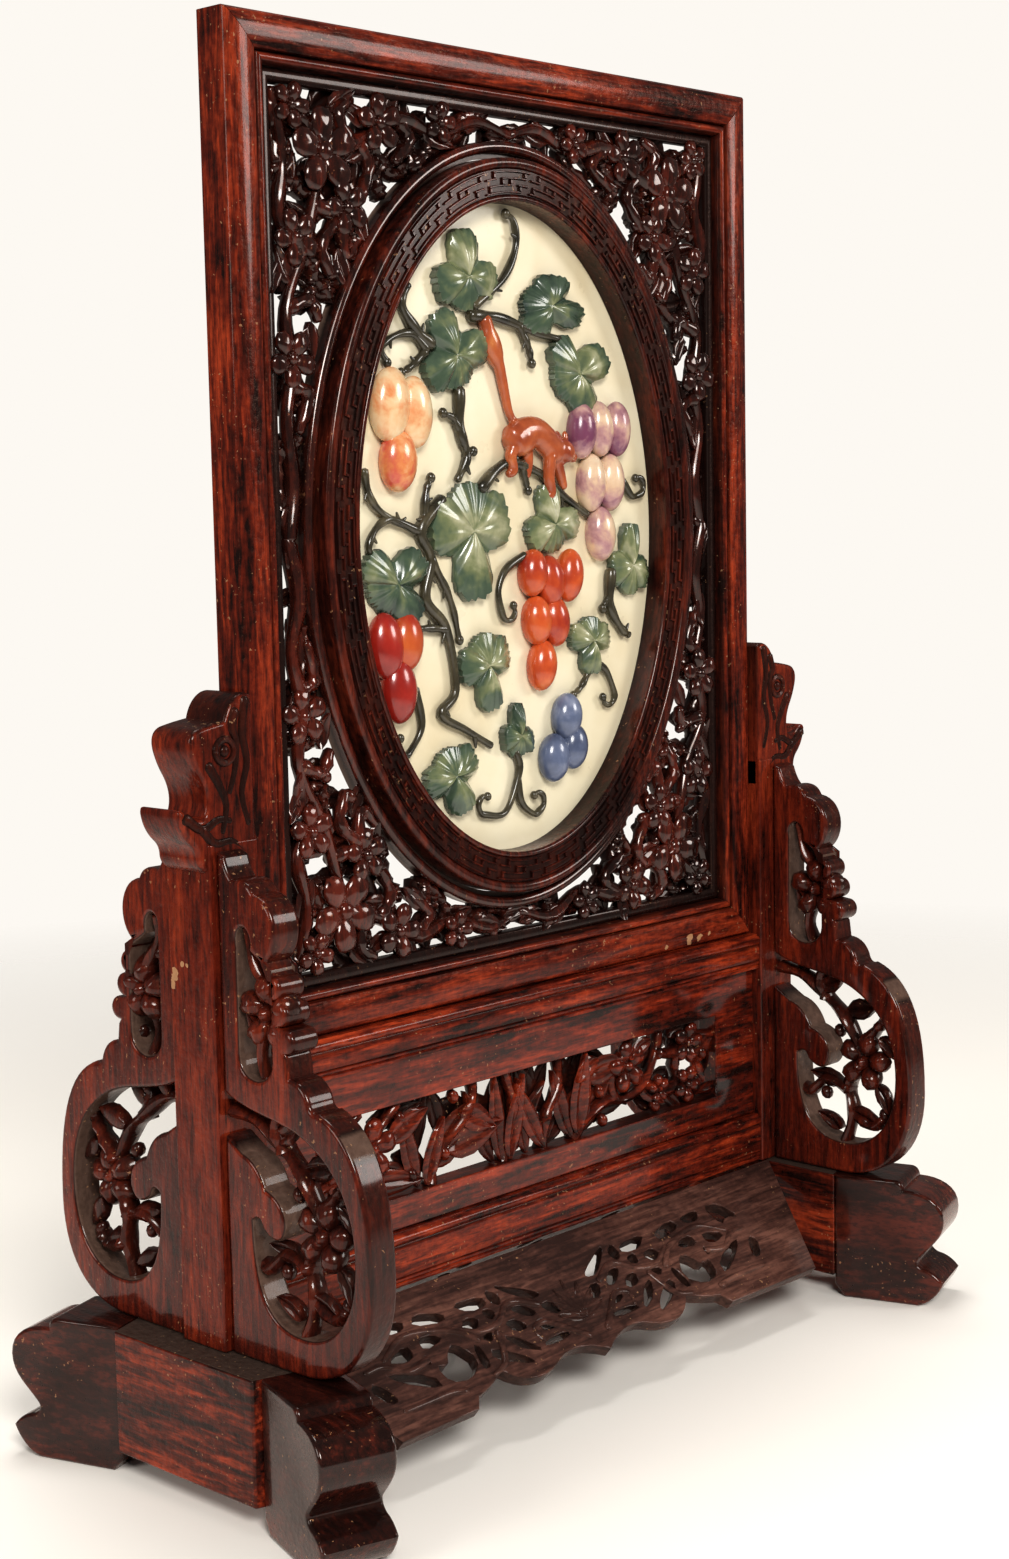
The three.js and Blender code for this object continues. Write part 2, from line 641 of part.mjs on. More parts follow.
function bracket(name, sideX, sideY) {
  const turnAbout = new THREE.Matrix4().makeBasis(
    new THREE.Vector3(0, sideY, 0), new THREE.Vector3(0, 0, 1), new THREE.Vector3(sideY, 0, 0),
  );
  const start = sideX * BRACKET_INNER;
  const end = sideX * BRACKET_OUTER;
  const low = Math.min(start, end);
  const high = Math.max(start, end);
  const plate = (shape, inset) => {
    const depth = high - low - 2 * inset;
    const geometry = new THREE.ExtrudeGeometry(shape, { depth, bevelEnabled: false, curveSegments: 3 });
    geometry.applyMatrix4(turnAbout);
    const shift = sideY > 0 ? low + inset : high - inset;
    geometry.translate(shift, sideY * (POST_HALF_DEPTH + JOINT), 0);
    return toSolid(geometry);
  };
  const pierced = cutAll(plate(bracketOutline(), 0), bracketVoids().map((shape) => plate(shape, -1)));
  const stems = BRACKET_STEMS.map((knots) => plate(ribbon(knots, 4, 3.6, 2), INFILL_INSET));
  const flowers = BRACKET_FLOWERS.map(([s, z, radius]) => plate(rosette(s, z, radius, 0.3), INFILL_INSET));
  const leaves = BRACKET_LEAVES.map(([s, z, length, turn]) => (
    plate(leafOutline(s, z, length, length * 0.45, turn), INFILL_INSET)
  ));
  return piece(name, joinAll([pierced, ...stems, ...flowers, ...leaves]), ROSEWOOD, 0.3);
}

// Cross rails and the pierced waist between the posts
function mouldedRail(name, bottom, top) {
  const half = RAIL_HALF_DEPTH;
  const face = [
    [half - 1.4, top], [half, top - 1.2], [half, top - 3.6], [half - 1.4, top - 4.6],
    [half - 0.4, top - 8], [half - 1.4, bottom + 3], [half - 0.6, bottom + 2.4], [half - 0.6, bottom],
  ];
  const back = face.map(([y, z]) => point(y, z));
  const front = face.map(([y, z]) => point(-y, z)).reverse();
  const reach = POST_INNER - JOINT;
  return piece(name, sidePlate(outline([...back, ...front]), -reach, reach), ROSEWOOD);
}

function waistPanel() {
  const reach = POST_INNER - JOINT;
  const rectangle = (wide, low, high) => [
    point(-wide, low), point(wide, low), point(wide, high), point(-wide, high),
  ];
  const bottom = LOWER_RAIL_TOP + JOINT;
  const top = UPPER_RAIL_BOTTOM - JOINT;
  const aperture = rectangle(WAIST_HALF_APERTURE, WAIST_APERTURE_BOTTOM, WAIST_APERTURE_TOP);
  const frame = slab(outline(rectangle(reach, bottom, top), [aperture]), WAIST_FRONT, WAIST_BACK);
  const middle = (WAIST_APERTURE_BOTTOM + WAIST_APERTURE_TOP) / 2;
  const half = (WAIST_APERTURE_TOP - WAIST_APERTURE_BOTTOM) / 2 + 1;
  const front = WAIST_FRONT + 1.5;
  const back = WAIST_BACK - 2;
  const carving = [];
  const bays = 4;
  for (let bay = 0; bay < bays; bay += 1) {
    const x = (bay - (bays - 1) / 2) * ((2 * WAIST_HALF_APERTURE) / bays);
    const lean = bay % 2 ? -1 : 1;
    const stem = [[x - 33, middle - lean * half], [x, middle], [x + 33, middle + lean * half]];
    carving.push(slab(ribbon(stem, 4.4, 4.4, 2), front, back));
    carving.push(slab(rosette(x + lean * 2, middle + 1, 11, 0.3 * bay), front, back));
    const blades = [[x - 2, middle, 25, 2.2], [x + 3, middle, 25, -0.9], [x + 2, middle, 24, 1]];
    for (const [s, z, length, turn] of blades) {
      carving.push(slab(leafOutline(s, z, length, 7.5, turn), front, back));
    }
  }
  return piece('waist_panel', joinAll([frame, ...carving]), ROSEWOOD, 0.35);
}

// Sloping aprons; v runs down the slope from the top edge
const APRON_HOLES = [
  [26, 18, 22, 7, -0.6], [54, 17, 20, 7, 0], [81, 16, 19, 7, 0], [108, 15, 18, 7, 0.1],
  [79, 36, 24, 13, 0.5], [104, 36, 24, 7, -0.6], [121, 38, 14, 7, -1], [38, 37, 24, 8, -0.7],
];

function apronOutline() {
  const edge = new THREE.Shape();
  const shift = APRON_MOTIF_SHIFT;
  const down = (v) => -v;
  edge.moveTo(-APRON_TOP_HALF, 0);
  edge.lineTo(-APRON_FOOT_HALF, down(APRON_LENGTH));
  edge.lineTo(shift - 84, down(APRON_LENGTH - 0.5));
  edge.lineTo(shift - 80, down(56));
  edge.quadraticCurveTo(shift - 70, down(54), shift - 61, down(49.5));
  edge.quadraticCurveTo(shift - 50, down(63), shift - 32, down(56));
  edge.quadraticCurveTo(shift - 18, down(48), shift, down(59));
  edge.quadraticCurveTo(shift + 18, down(48), shift + 32, down(56));
  edge.quadraticCurveTo(shift + 50, down(63), shift + 61, down(49.5));
  edge.quadraticCurveTo(shift + 70, down(54), shift + 80, down(56));
  edge.lineTo(shift + 84, down(APRON_LENGTH - 0.5));
  edge.lineTo(APRON_FOOT_HALF, down(APRON_LENGTH));
  edge.lineTo(APRON_TOP_HALF, 0);
  return edge;
}

function apron(name, holes) {
  const plate = slab(apronOutline(), 0, APRON_THICKNESS, 4);
  const cutters = [-1, 1].flatMap((side) => holes.map(([x, v, length, width, turn]) => {
    const middle = point(APRON_MOTIF_SHIFT + side * x, -v);
    const angle = side > 0 ? -turn : Math.PI + turn;
    const start = middle.clone().sub(point(length / 2, 0).rotateAround(point(0, 0), angle));
    return slab(leafOutline(start.x, start.y, length, width, angle), -1, APRON_THICKNESS + 1);
  }));
  const mesh = piece(name, cutAll(plate, cutters), APRON_WOOD, 0.6);
  mesh.position.set(0, -APRON_TOP_DEPTH, APRON_TOP_HEIGHT);
  mesh.rotation.x = -APRON_TILT;
  return mesh;
}

function standBack() {
  const back = new THREE.Group();
  back.rotation.z = Math.PI;
  back.add(apron('apron_back', APRON_HOLES.filter((hole, index) => index % 2 === 0)));
  return back;
}

const screen = new THREE.Group();
screen.add(...screenFrame(), openworkPanel(), fretRing(), stonePlaque(), ...hardstoneVine());

const stand = new THREE.Group();
for (const [label, sideX] of [['left', -1], ['right', 1]]) {
  stand.add(footBar(`foot_bar_${label}`, sideX), post(`post_${label}`, sideX));
  for (const [end, sideY] of [['front', -1], ['back', 1]]) {
    const place = `${label}_${end}`;
    stand.add(toeBlock(`toe_${place}`, sideX, sideY), bracket(`bracket_${place}`, sideX, sideY));
  }
}
stand.add(
  mouldedRail('stand_rail_lower', APRON_TOP_HEIGHT + JOINT, LOWER_RAIL_TOP),
  mouldedRail('stand_rail_upper', UPPER_RAIL_BOTTOM, SCREEN_BOTTOM - JOINT),
  waistPanel(),
  apron('apron_front', APRON_HOLES),
  standBack(),
);

const group = new THREE.Group();
group.add(screen, stand);

export default group;
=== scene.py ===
"""Carved rosewood table screen with a hardstone vine, standing in its two-footed stand."""

import logging
import math
import random
from dataclasses import dataclass
from enum import Enum
from typing import Sequence

import bpy
import numpy as np
from mathutils import Matrix, Vector
from mathutils.geometry import delaunay_2d_cdt


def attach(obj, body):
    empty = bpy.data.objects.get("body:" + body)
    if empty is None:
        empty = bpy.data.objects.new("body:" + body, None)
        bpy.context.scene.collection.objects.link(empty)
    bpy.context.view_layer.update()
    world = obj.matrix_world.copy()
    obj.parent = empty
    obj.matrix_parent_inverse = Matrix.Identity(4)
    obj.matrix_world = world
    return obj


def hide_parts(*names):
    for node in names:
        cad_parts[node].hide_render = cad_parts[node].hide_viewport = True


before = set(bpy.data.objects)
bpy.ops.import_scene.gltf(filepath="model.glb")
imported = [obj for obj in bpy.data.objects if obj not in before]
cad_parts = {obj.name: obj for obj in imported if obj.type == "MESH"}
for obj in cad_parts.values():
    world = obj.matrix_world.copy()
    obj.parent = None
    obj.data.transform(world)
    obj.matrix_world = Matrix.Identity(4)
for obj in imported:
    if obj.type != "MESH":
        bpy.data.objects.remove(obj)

MM = 0.001
BODY = "root"
SCREEN_MID = 376.5
STONE_HALF = (97.7, 139.8)
FRONT = (0.0, -1.0, 0.0)
SIDES = (("left", -1), ("right", 1))
ENDS = (("front", -1), ("back", 1))
SMALL = 1e-9
log = logging.getLogger("table_screen")

Point2 = tuple[float, float]
Point3 = tuple[float, float, float]
Colour = tuple[float, float, float]


class Grain(Enum):
    """The way the wood's grain runs, as stretch factors along X, Y and Z."""

    ACROSS = (0.12, 1.0, 1.0)
    DEEP = (1.0, 0.12, 1.0)
    UPRIGHT = (1.0, 1.0, 0.12)


class Sock:
    """A shader socket that can stand in sums and products."""

    def __init__(self, shader: "Shader", socket: bpy.types.NodeSocket) -> None:
        """Keeps the shader the socket belongs to."""
        self.shader = shader
        self.socket = socket

    def _math(self, operation: str, first: "Sock | float", second: "Sock | float") -> "Sock":
        """Adds one Math node."""
        return self.shader.node("ShaderNodeMath", {"operation": operation}, {0: first, 1: second})

    def __add__(self, other: "Sock | float") -> "Sock":
        """Sum."""
        return self._math("ADD", self, other)

    __radd__ = __add__

    def __sub__(self, other: "Sock | float") -> "Sock":
        """Difference."""
        return self._math("SUBTRACT", self, other)

    def __rsub__(self, other: "Sock | float") -> "Sock":
        """Difference the other way round."""
        return self._math("SUBTRACT", other, self)

    def __mul__(self, other: "Sock | float") -> "Sock":
        """Product."""
        return self._math("MULTIPLY", self, other)

    __rmul__ = __mul__

    def over(self, limit: float) -> "Sock":
        """One where the value passes the limit."""
        return self._math("GREATER_THAN", self, limit)

    def clamped(self) -> "Sock":
        """The value held between 0 and 1."""
        return self.shader.node("ShaderNodeClamp", {}, {0: self})


class Shader:
    """One procedural material in the making."""

    def __init__(self, name: str) -> None:
        """Starts an empty material.

        Args:
            name: the material's name.
        """
        self.material = bpy.data.materials.new(name)
        self.material.use_nodes = True
        self.tree = self.material.node_tree
        self.tree.nodes.clear()
        self.place = self.node("ShaderNodeTexCoord", {}, {}, "Object")

    def node(
        self,
        kind: str,
        settings: dict[str, object],
        inputs: dict[int | str, object],
        output: int | str = 0,
    ) -> Sock:
        """Makes one node.

        Args:
            kind: the node's type.
            settings: properties set first; "stops" fills a colour ramp.
            inputs: values or linked sockets by input.
            output: the output handed back.

        Returns:
            The node's output.
        """
        made = self.tree.nodes.new(kind)
        for key, value in settings.items():
            if key == "stops":
                self._fill_ramp(made.color_ramp, value)
            else:
                setattr(made, key, value)
        for key, value in inputs.items():
            if isinstance(value, Sock):
                self.tree.links.new(value.socket, made.inputs[key])
            else:
                made.inputs[key].default_value = value
        return Sock(self, made.outputs[output])

    @staticmethod
    def _fill_ramp(ramp: bpy.types.ColorRamp, stops: Sequence[tuple[float, Colour]]) -> None:
        """Sets a ramp's stops.

        Args:
            ramp: the ramp of a new node.
            stops: places and colours, from dark to light.
        """
        while len(ramp.elements) < len(stops):
            ramp.elements.new(1.0)
        for element, (position, colour) in zip(ramp.elements, stops):
            element.position = position
            element.color = (*colour, 1.0)

    def stretched(self, scale: Point3) -> Sock:
        """Object coordinates stretched by a scale."""
        return self.node("ShaderNodeMapping", {}, {"Vector": self.place, "Scale": scale})

    def noise(self, where: Sock, scale: float, detail: float = 3.0, twist: float = 0.0) -> Sock:
        """Cloudy noise between 0 and 1."""
        inputs = {"Vector": where, "Scale": scale, "Detail": detail, "Distortion": twist}
        return self.node("ShaderNodeTexNoise", {}, inputs, "Fac")

    def ramp(self, factor: Sock, stops: Sequence[tuple[float, Colour]]) -> Sock:
        """A colour ramp over a factor."""
        return self.node("ShaderNodeValToRGB", {"stops": stops}, {0: factor})

    def blend(self, factor: Sock, first: "Sock | Colour", second: "Sock | Colour") -> Sock:
        """Two colours mixed by a factor.

        Args:
            factor: how much of the second colour shows.
            first: the colour at 0.
            second: the colour at 1.

        Returns:
            The mixed colour.
        """
        sides = [side if isinstance(side, Sock) else (*side, 1.0) for side in (first, second)]
        inputs = {0: factor, 6: sides[0], 7: sides[1]}
        return self.node("ShaderNodeMix", {"data_type": "RGBA"}, inputs, 2)

    def attribute(self, name: str) -> Sock:
        """A value stored on the mesh's points."""
        return self.node("ShaderNodeAttribute", {"attribute_name": name}, {}, "Fac")

    def vector_length(self, operation: str, inputs: dict[int | str, object]) -> Sock:
        """A length or a distance worked out from vectors."""
        return self.node("ShaderNodeVectorMath", {"operation": operation}, inputs, "Value")

    def bump(self, height: Sock, depth_mm: float, strength: float = 1.0) -> Sock:
        """A normal roughened by a height."""
        inputs = {"Strength": strength, "Distance": depth_mm * MM, "Height": height}
        return self.node("ShaderNodeBump", {}, inputs)

    def surface(self, inputs: dict[str, object]) -> bpy.types.Material:
        """Closes the material with one surface shader.

        Args:
            inputs: the surface's sockets.

        Returns:
            The finished material.
        """
        shader = self.node("ShaderNodeBsdfPrincipled", {}, inputs)
        end = self.tree.nodes.new("ShaderNodeOutputMaterial")
        self.tree.links.new(shader.socket, end.inputs["Surface"])
        return self.material


@dataclass(frozen=True)
class WoodFinish:
    """Polished rosewood: dark and red streaks along the grain, with painted shade in the recesses and on
    sawn edges, real dust, chipped spots and nicks, and pale specks that are partly painted glints.

    The scales tell how many features a metre of wood has.
    """

    FIGURE_SCALE = 46.0
    STREAK_SCALE = 420.0
    PORE_SCALE = 900.0
    PATCH_SCALE = 16.0
    DAPPLE_SCALE = 330.0
    FLECK_SCALE = 560.0
    FLECK_LIMIT = 0.695
    WORN_SCALE = 30.0
    WORN_LIMIT = 0.54
    MEAN_TONE = 0.665
    RAGGED = 2.4

    name: str
    grain: Grain
    dark: Colour = (0.0085, 0.0032, 0.003)
    middle: Colour = (0.1, 0.0125, 0.006)
    light: Colour = (0.34, 0.05, 0.016)
    # Colour of the painted shade.
    painted_shade_colour: Colour = (0.006, 0.0032, 0.003)
    roughness: float = 0.3
    dust: Colour = (0.24, 0.16, 0.125)
    # Colour of bare wood: real in the nicks, and in the pale specks partly a painted glint.
    bare: Colour = (0.4, 0.24, 0.13)
    polish: float = 0.32
    ripple: float = 0.5
    contrast: float = 2.5
    dulling: float = 0.65
    chip_and_glint_share: float = 0.6
    nicks: tuple[tuple[Point3, float], ...] = ()

    def make(self) -> bpy.types.Material:
        """Builds the material from the grain's noises and the mesh's "painted_shade_and_dust" values.

        Returns:
            The wood, in painted shade where the value nears 1 and dusty where it passes 1.
        """
        shader = Shader(self.name)
        along = shader.stretched(self.grain.value)
        figure = shader.noise(along, self.FIGURE_SCALE, 5.0, 1.1)
        streaks = shader.noise(along, self.STREAK_SCALE, 4.0, 0.5)
        pores = shader.noise(along, self.PORE_SCALE)
        patches = shader.noise(shader.place, self.PATCH_SCALE)
        dapple = shader.noise(shader.place, self.DAPPLE_SCALE)
        mixed = figure * 0.46 + streaks * 0.46 + patches * 0.24 + dapple * 0.14
        tone = (mixed - self.MEAN_TONE) * self.contrast + 0.5
        wood = shader.ramp(tone, ((0.2, self.dark), (0.46, self.middle), (0.84, self.light)))
        wood = shader.blend(((pores - 0.52) * 5.0).clamped() * 0.75, wood, self.dark)
        painted_shade_and_dust = shader.attribute("painted_shade_and_dust")
        # Painted shade: the shade colour is laid where the stored value is high, in recesses, grooves,
        # hollows and on cut edges.
        wood = shader.blend((painted_shade_and_dust * (0.7 + patches * 0.5)).clamped(), wood, self.painted_shade_colour)
        # Where the stored value passes 1 it is real dust, not shade.
        dust = (painted_shade_and_dust - 1.0).clamped() * (0.25 + dapple * 0.9).clamped()
        wood = shader.blend(dust, wood, self.dust)
        # Pale specks: partly worn chipped spots, partly painted glints of a bumpy polished surface.
        chip_and_glint_flecks = shader.noise(shader.place, self.FLECK_SCALE, 2.0).over(self.FLECK_LIMIT)
        worn = shader.noise(shader.place, self.WORN_SCALE, 1.0).over(self.WORN_LIMIT)
        wood = shader.blend(chip_and_glint_flecks * worn * self.chip_and_glint_share, wood, self.bare)
        for centre, reach in self.nicks:
            spot = tuple(value * MM for value in centre)
            gap = shader.vector_length("DISTANCE", {0: shader.place, 1: spot})
            bare = (gap * (1.0 / (reach * MM)) + (dapple - 0.5) * self.RAGGED) * -1.0
            wood = shader.blend(bare.over(-1.0), wood, self.bare)
        rough = (self.roughness + (pores - 0.5) * 0.3 + (dapple - 0.5) * 0.2 + painted_shade_and_dust * 0.12).clamped()
        gloss = ((1.0 - painted_shade_and_dust.clamped() * self.dulling) * self.polish - dust * 0.5).clamped()
        relief = pores * 0.3 + streaks * 0.35 + dapple * 1.1
        return shader.surface({
            "Base Color": wood,
            "Roughness": rough,
            "Specular IOR Level": 0.14,
            "Specular Tint": (1.0, 0.5, 0.34, 1.0),
            "Coat Weight": gloss,
            "Coat Roughness": 0.1,
            "Coat Tint": (1.0, 0.72, 0.6, 1.0),
            "Normal": shader.bump(relief, self.ripple, 0.85),
        })


@dataclass(frozen=True)
class StoneFinish:
    """Polished hardstone: cloudy colours, each carved form with a tint of its own."""

    name: str
    stops: tuple[tuple[float, Colour], ...]
    cloud: float = 60.0
    tint: float = 0.5
    roughness: float = 0.24
    polish: float = 0.3
    glow: float = 0.0
    # Colour of the painted shade at the back of each carved form, where it meets the plaque.
    edge: Colour = (0.05, 0.045, 0.035)

    def make(self) -> bpy.types.Material:
        """Builds the material from clouds and the mesh's "tint".

        Returns:
            The stone, darker where the patina is high.
        """
        shader = Shader(self.name)
        clouds = shader.noise(shader.place, self.cloud, 3.0, 0.8)
        fine = shader.noise(shader.place, self.cloud * 7.0, 3.0)
        tone = clouds * 0.75 + fine * 0.15 + shader.attribute("tint") * self.tint
        colour = shader.ramp(tone.clamped(), self.stops)
        # Painted shade: the shade colour is laid on the deep parts of each form.
        colour = shader.blend(shader.attribute("painted_shade_and_dust").clamped(), colour, self.edge)
        inputs = {
            "Base Color": colour,
            "Roughness": (self.roughness + (fine - 0.5) * 0.15).clamped(),
            "Coat Weight": self.polish,
            "Coat Roughness": 0.08,
            "Normal": shader.bump(fine, 0.12, 0.3),
        }
        if self.glow:
            inputs["Subsurface Weight"] = self.glow
            inputs["Subsurface Radius"] = (0.004, 0.003, 0.002)
        return shader.surface(inputs)


def bell(values: np.ndarray, middle: float, width: float) -> np.ndarray:
    """One at the middle, falling off smoothly to both sides."""
    return np.exp(-(((values - middle) / width) ** 2))


def arc(middle: Point2, radii: Point2, start: float, end: float, count: int) -> list[Point2]:
    """Points on an oval arc between two angles."""
    (x, y), (wide, tall) = middle, radii
    return [(x + wide * math.cos(a), y + tall * math.sin(a)) for a in np.linspace(start, end, count)]


def bands(rows: int, size: int, start: int = 0, closed: bool = False) -> list[list[int]]:
    """Lists the faces between closed rings of points.

    Args:
        rows: how many rings.
        size: points in a ring.
        start: number of the first point.
        closed: whether the last ring joins the first.

    Returns:
        Four corners for each face.
    """
    faces = []
    for row in range(rows if closed else rows - 1):
        low, high = start + row * size, start + (row + 1) % rows * size
        for j in range(size):
            k = (j + 1) % size
            faces.append([low + j, low + k, high + k, high + j])
    return faces


class Bench:
    """Work on Blender objects."""

    @staticmethod
    def clear() -> None:
        """Deselects everything."""
        bpy.ops.object.select_all(action="DESELECT")

    @staticmethod
    def take(*objects: bpy.types.Object) -> None:
        """Selects objects.

        Args:
            objects: what is selected, the first one active.
        """
        Bench.clear()
        for item in objects:
            item.select_set(True)
        bpy.context.view_layer.objects.active = objects[0]

    @staticmethod
    def edit(item: bpy.types.Object) -> None:
        """Opens an object in edit mode with everything selected.

        Args:
            item: the object.
        """
        Bench.take(item)
        bpy.ops.object.mode_set(mode="EDIT")
        bpy.ops.mesh.select_all(action="SELECT")

    @staticmethod
    def close() -> None:
        """Back to object mode."""
        bpy.ops.object.mode_set(mode="OBJECT")

    @staticmethod
    def apply(item: bpy.types.Object, kind: str, **settings: object) -> None:
        """Adds a modifier and applies it.

        Args:
            item: the object.
            kind: the modifier's type.
            settings: the modifier's values.
        """
        modifier = item.modifiers.new(kind.lower(), kind)
        for key, value in settings.items():
            setattr(modifier, key, value)
        Bench.take(item)
        bpy.ops.object.modifier_apply(modifier=modifier.name)

    @staticmethod
    def join(name: str, items: Sequence[bpy.types.Object]) -> bpy.types.Object:
        """Joins objects into the first and names it.

        Args:
            name: the joined object's name.
            items: what is joined.

        Returns:
            The joined object.
        """
        if len(items) > 1:
            Bench.take(*items)
            bpy.ops.object.join()
        items[0].name = name
        return items[0]

    @staticmethod
    def weld(item: bpy.types.Object) -> None:
        """Merges doubled points and turns the faces outwards.

        Args:
            item: the object.
        """
        Bench.edit(item)
        bpy.ops.mesh.remove_doubles(threshold=0.00001)
        bpy.ops.mesh.normals_make_consistent(inside=False)
        Bench.close()

    @staticmethod
    def shape(
        name: str, spots: Sequence[Sequence[float]], faces: Sequence[Sequence[int]]
    ) -> bpy.types.Object:
        """Makes an object.

        Args:
            name: the object's name.
            spots: its points in metres.
            faces: its faces.

        Returns:
            The object, linked to the scene.
        """
        mesh = bpy.data.meshes.new(name)
        mesh.from_pydata(spots, [], faces)
        item = bpy.data.objects.new(name, mesh)
        bpy.context.collection.objects.link(item)
        return item

    @staticmethod
    def bar(
        name: str, profile: Sequence[Point3], run: Point3, round_mm: float = 0.0
    ) -> bpy.types.Object:
        """Extrudes a profile along a run and rounds its hard edges.

        Args:
            name: the object's name.
            profile: the profile's points in millimetres.
            run: the extrusion in millimetres.
            round_mm: width of the rounding.

        Returns:
            The bar.
        """
        item = Bench.shape(name, [Vector(spot) * MM for spot in profile], [range(len(profile))])
        Bench.edit(item)
        move = {"value": tuple(Vector(run) * MM)}
        bpy.ops.mesh.extrude_region_move(TRANSFORM_OT_translate=move)
        Bench.close()
        Bench.weld(item)
        if round_mm:
            Bench.apply(
                item, "BEVEL", width=round_mm * MM, segments=3, limit_method="ANGLE", angle_limit=0.7
            )
        return item

    @staticmethod
    def plate(
        name: str,
        loops: Sequence[Sequence[Point2]],
        half: float,
        rounding: float,
        place: Matrix,
        steps: int = 2,
    ) -> bpy.types.Object:
        """A pierced plate with rounded edges.

        Args:
            name: the object's name.
            loops: the outline and the holes in millimetres.
            half: half the thickness.
            rounding: radius of the edges.
            place: where the drawing plane lies, in millimetres.
            steps: faces in the rounding.

        Returns:
            The plate.
        """
        levels = [0.5 * math.pi * step / steps for step in range(steps + 1)]
        low = [(rounding * (1 - math.sin(a)), rounding * (1 - math.cos(a)) - half) for a in levels]
        section = [*low, *[(inset, -height) for inset, height in reversed(low)]]
        spots: list[Vector] = []
        faces: list[list[int]] = []
        caps: list[list[Vector]] = []
        for index, loop in enumerate(loops):
            rings = [Bench.inset(loop, inset, index > 0) for inset, _ in section]
            faces.extend(bands(len(section), len(loop), len(spots)))
            for ring, (_, height) in zip(rings, section):
                spots.extend(Vector((x, y, height)) for x, y in ring)
            caps.append([Vector(spot) for spot in rings[0]])
        flat, lines = [], []
        for cap in caps:
            count = len(flat)
            lines.extend((count + j, count + (j + 1) % len(cap)) for j in range(len(cap)))
            flat.extend(cap)
        filled = delaunay_2d_cdt(flat, lines, [], 0, 1e-4)
        sheet = [face for face in filled[2] if Bench.in_wood([filled[0][i] for i in face], caps)]
        for height in (-half, half):
            count = len(spots)
            spots.extend(Vector((spot.x, spot.y, height)) for spot in filled[0])
            faces.extend([count + corner for corner in face] for face in sheet)
        item = Bench.shape(name, [(place @ spot) * MM for spot in spots], faces)
        Bench.weld(item)
        return item

    @staticmethod
    def in_wood(corners: Sequence[Vector], loops: Sequence[Sequence[Vector]]) -> bool:
        """Tells whether a triangle lies inside the outline and outside the holes.

        Args:
            corners: the triangle's corners.
            loops: the outline and the holes.

        Returns:
            True where its middle is in the wood.
        """
        x, y = sum(corners, Vector((0.0, 0.0))) / len(corners)
        crossings = 0
        for loop in loops:
            for (x0, y0), (x1, y1) in zip(loop, [*loop[1:], loop[0]]):
                if (y0 > y) != (y1 > y) and x < x0 + (y - y0) * (x1 - x0) / (y1 - y0):
                    crossings += 1
        return crossings % 2 == 1

    @staticmethod
    def inset(loop: Sequence[Point2], amount: float, hole: bool) -> list[Point2]:
        """Moves an outline into the wood.

        Args:
            loop: the outline's points.
            amount: how far it moves.
            hole: whether it bounds a hole.

        Returns:
            The moved outline.
        """
        spots = np.array(loop, float)
        ahead = np.roll(spots, -1, 0) - spots
        ahead /= np.linalg.norm(ahead, axis=1)[:, None] + SMALL
        area = np.sum(spots[:, 0] * np.roll(spots[:, 1], -1) - np.roll(spots[:, 0], -1) * spots[:, 1])
        sign = math.copysign(1.0, area) * (-1.0 if hole else 1.0)
        side = np.stack([-ahead[:, 1], ahead[:, 0]], 1) * sign
        mean = side + np.roll(side, 1, 0)
        mean /= np.linalg.norm(mean, axis=1)[:, None] + SMALL
        stretch = np.clip(np.sum(mean * side, axis=1), 0.6, 1.0)
        moved = spots + mean * (amount / stretch)[:, None]
        return [(float(x), float(y)) for x, y in moved]

    @staticmethod
    def store(item: bpy.types.Object, name: str, values: np.ndarray) -> None:
        """Stores a value on each of a mesh's points."""
        layer = item.data.attributes.get(name) or item.data.attributes.new(name, "FLOAT", "POINT")
        layer.data.foreach_set("value", values.astype(np.float32))

    @staticmethod
    def stored(item: bpy.types.Object, name: str) -> np.ndarray:
        """Reads what was stored on a mesh's points.

        Args:
            item: the object.
            name: the stored value's name.

        Returns:
            One value for each point.
        """
        values = np.zeros(len(item.data.vertices), np.float32)
        item.data.attributes[name].data.foreach_get("value", values)
        return values

    @staticmethod
    def painted_shade_and_dust(item: bpy.types.Object, values: np.ndarray) -> None:
        """Stores how much painted shade each point has, or how dusty it is where the value passes 1."""
        Bench.store(item, "painted_shade_and_dust", np.clip(values, 0.0, 2.0))

    @staticmethod
    def vectors(item: bpy.types.Object, kind: str) -> np.ndarray:
        """Reads a vector from each of a mesh's points.

        Args:
            item: the object.
            kind: "co" for places in metres, "normal" for directions.

        Returns:
            One row for each point.
        """
        rows = np.zeros(len(item.data.vertices) * 3, np.float32)
        item.data.vertices.foreach_get(kind, rows)
        return rows.reshape(-1, 3)

    @staticmethod
    def points(item: bpy.types.Object) -> np.ndarray:
        """The mesh's points in millimetres."""
        return Bench.vectors(item, "co") / MM

    @staticmethod
    def edge_shade(item: bpy.types.Object, axis: Point3, amount: float) -> None:
        """Paints shade on the points that face away from an axis, as on a plate's cut edges.

        Args:
            item: the plate.
            axis: the way its broad faces look.
            amount: the painted shade on an edge.
        """
        facing = np.abs(Bench.vectors(item, "normal") @ np.array(axis))
        Bench.painted_shade_and_dust(item, (1.0 - facing) * amount)

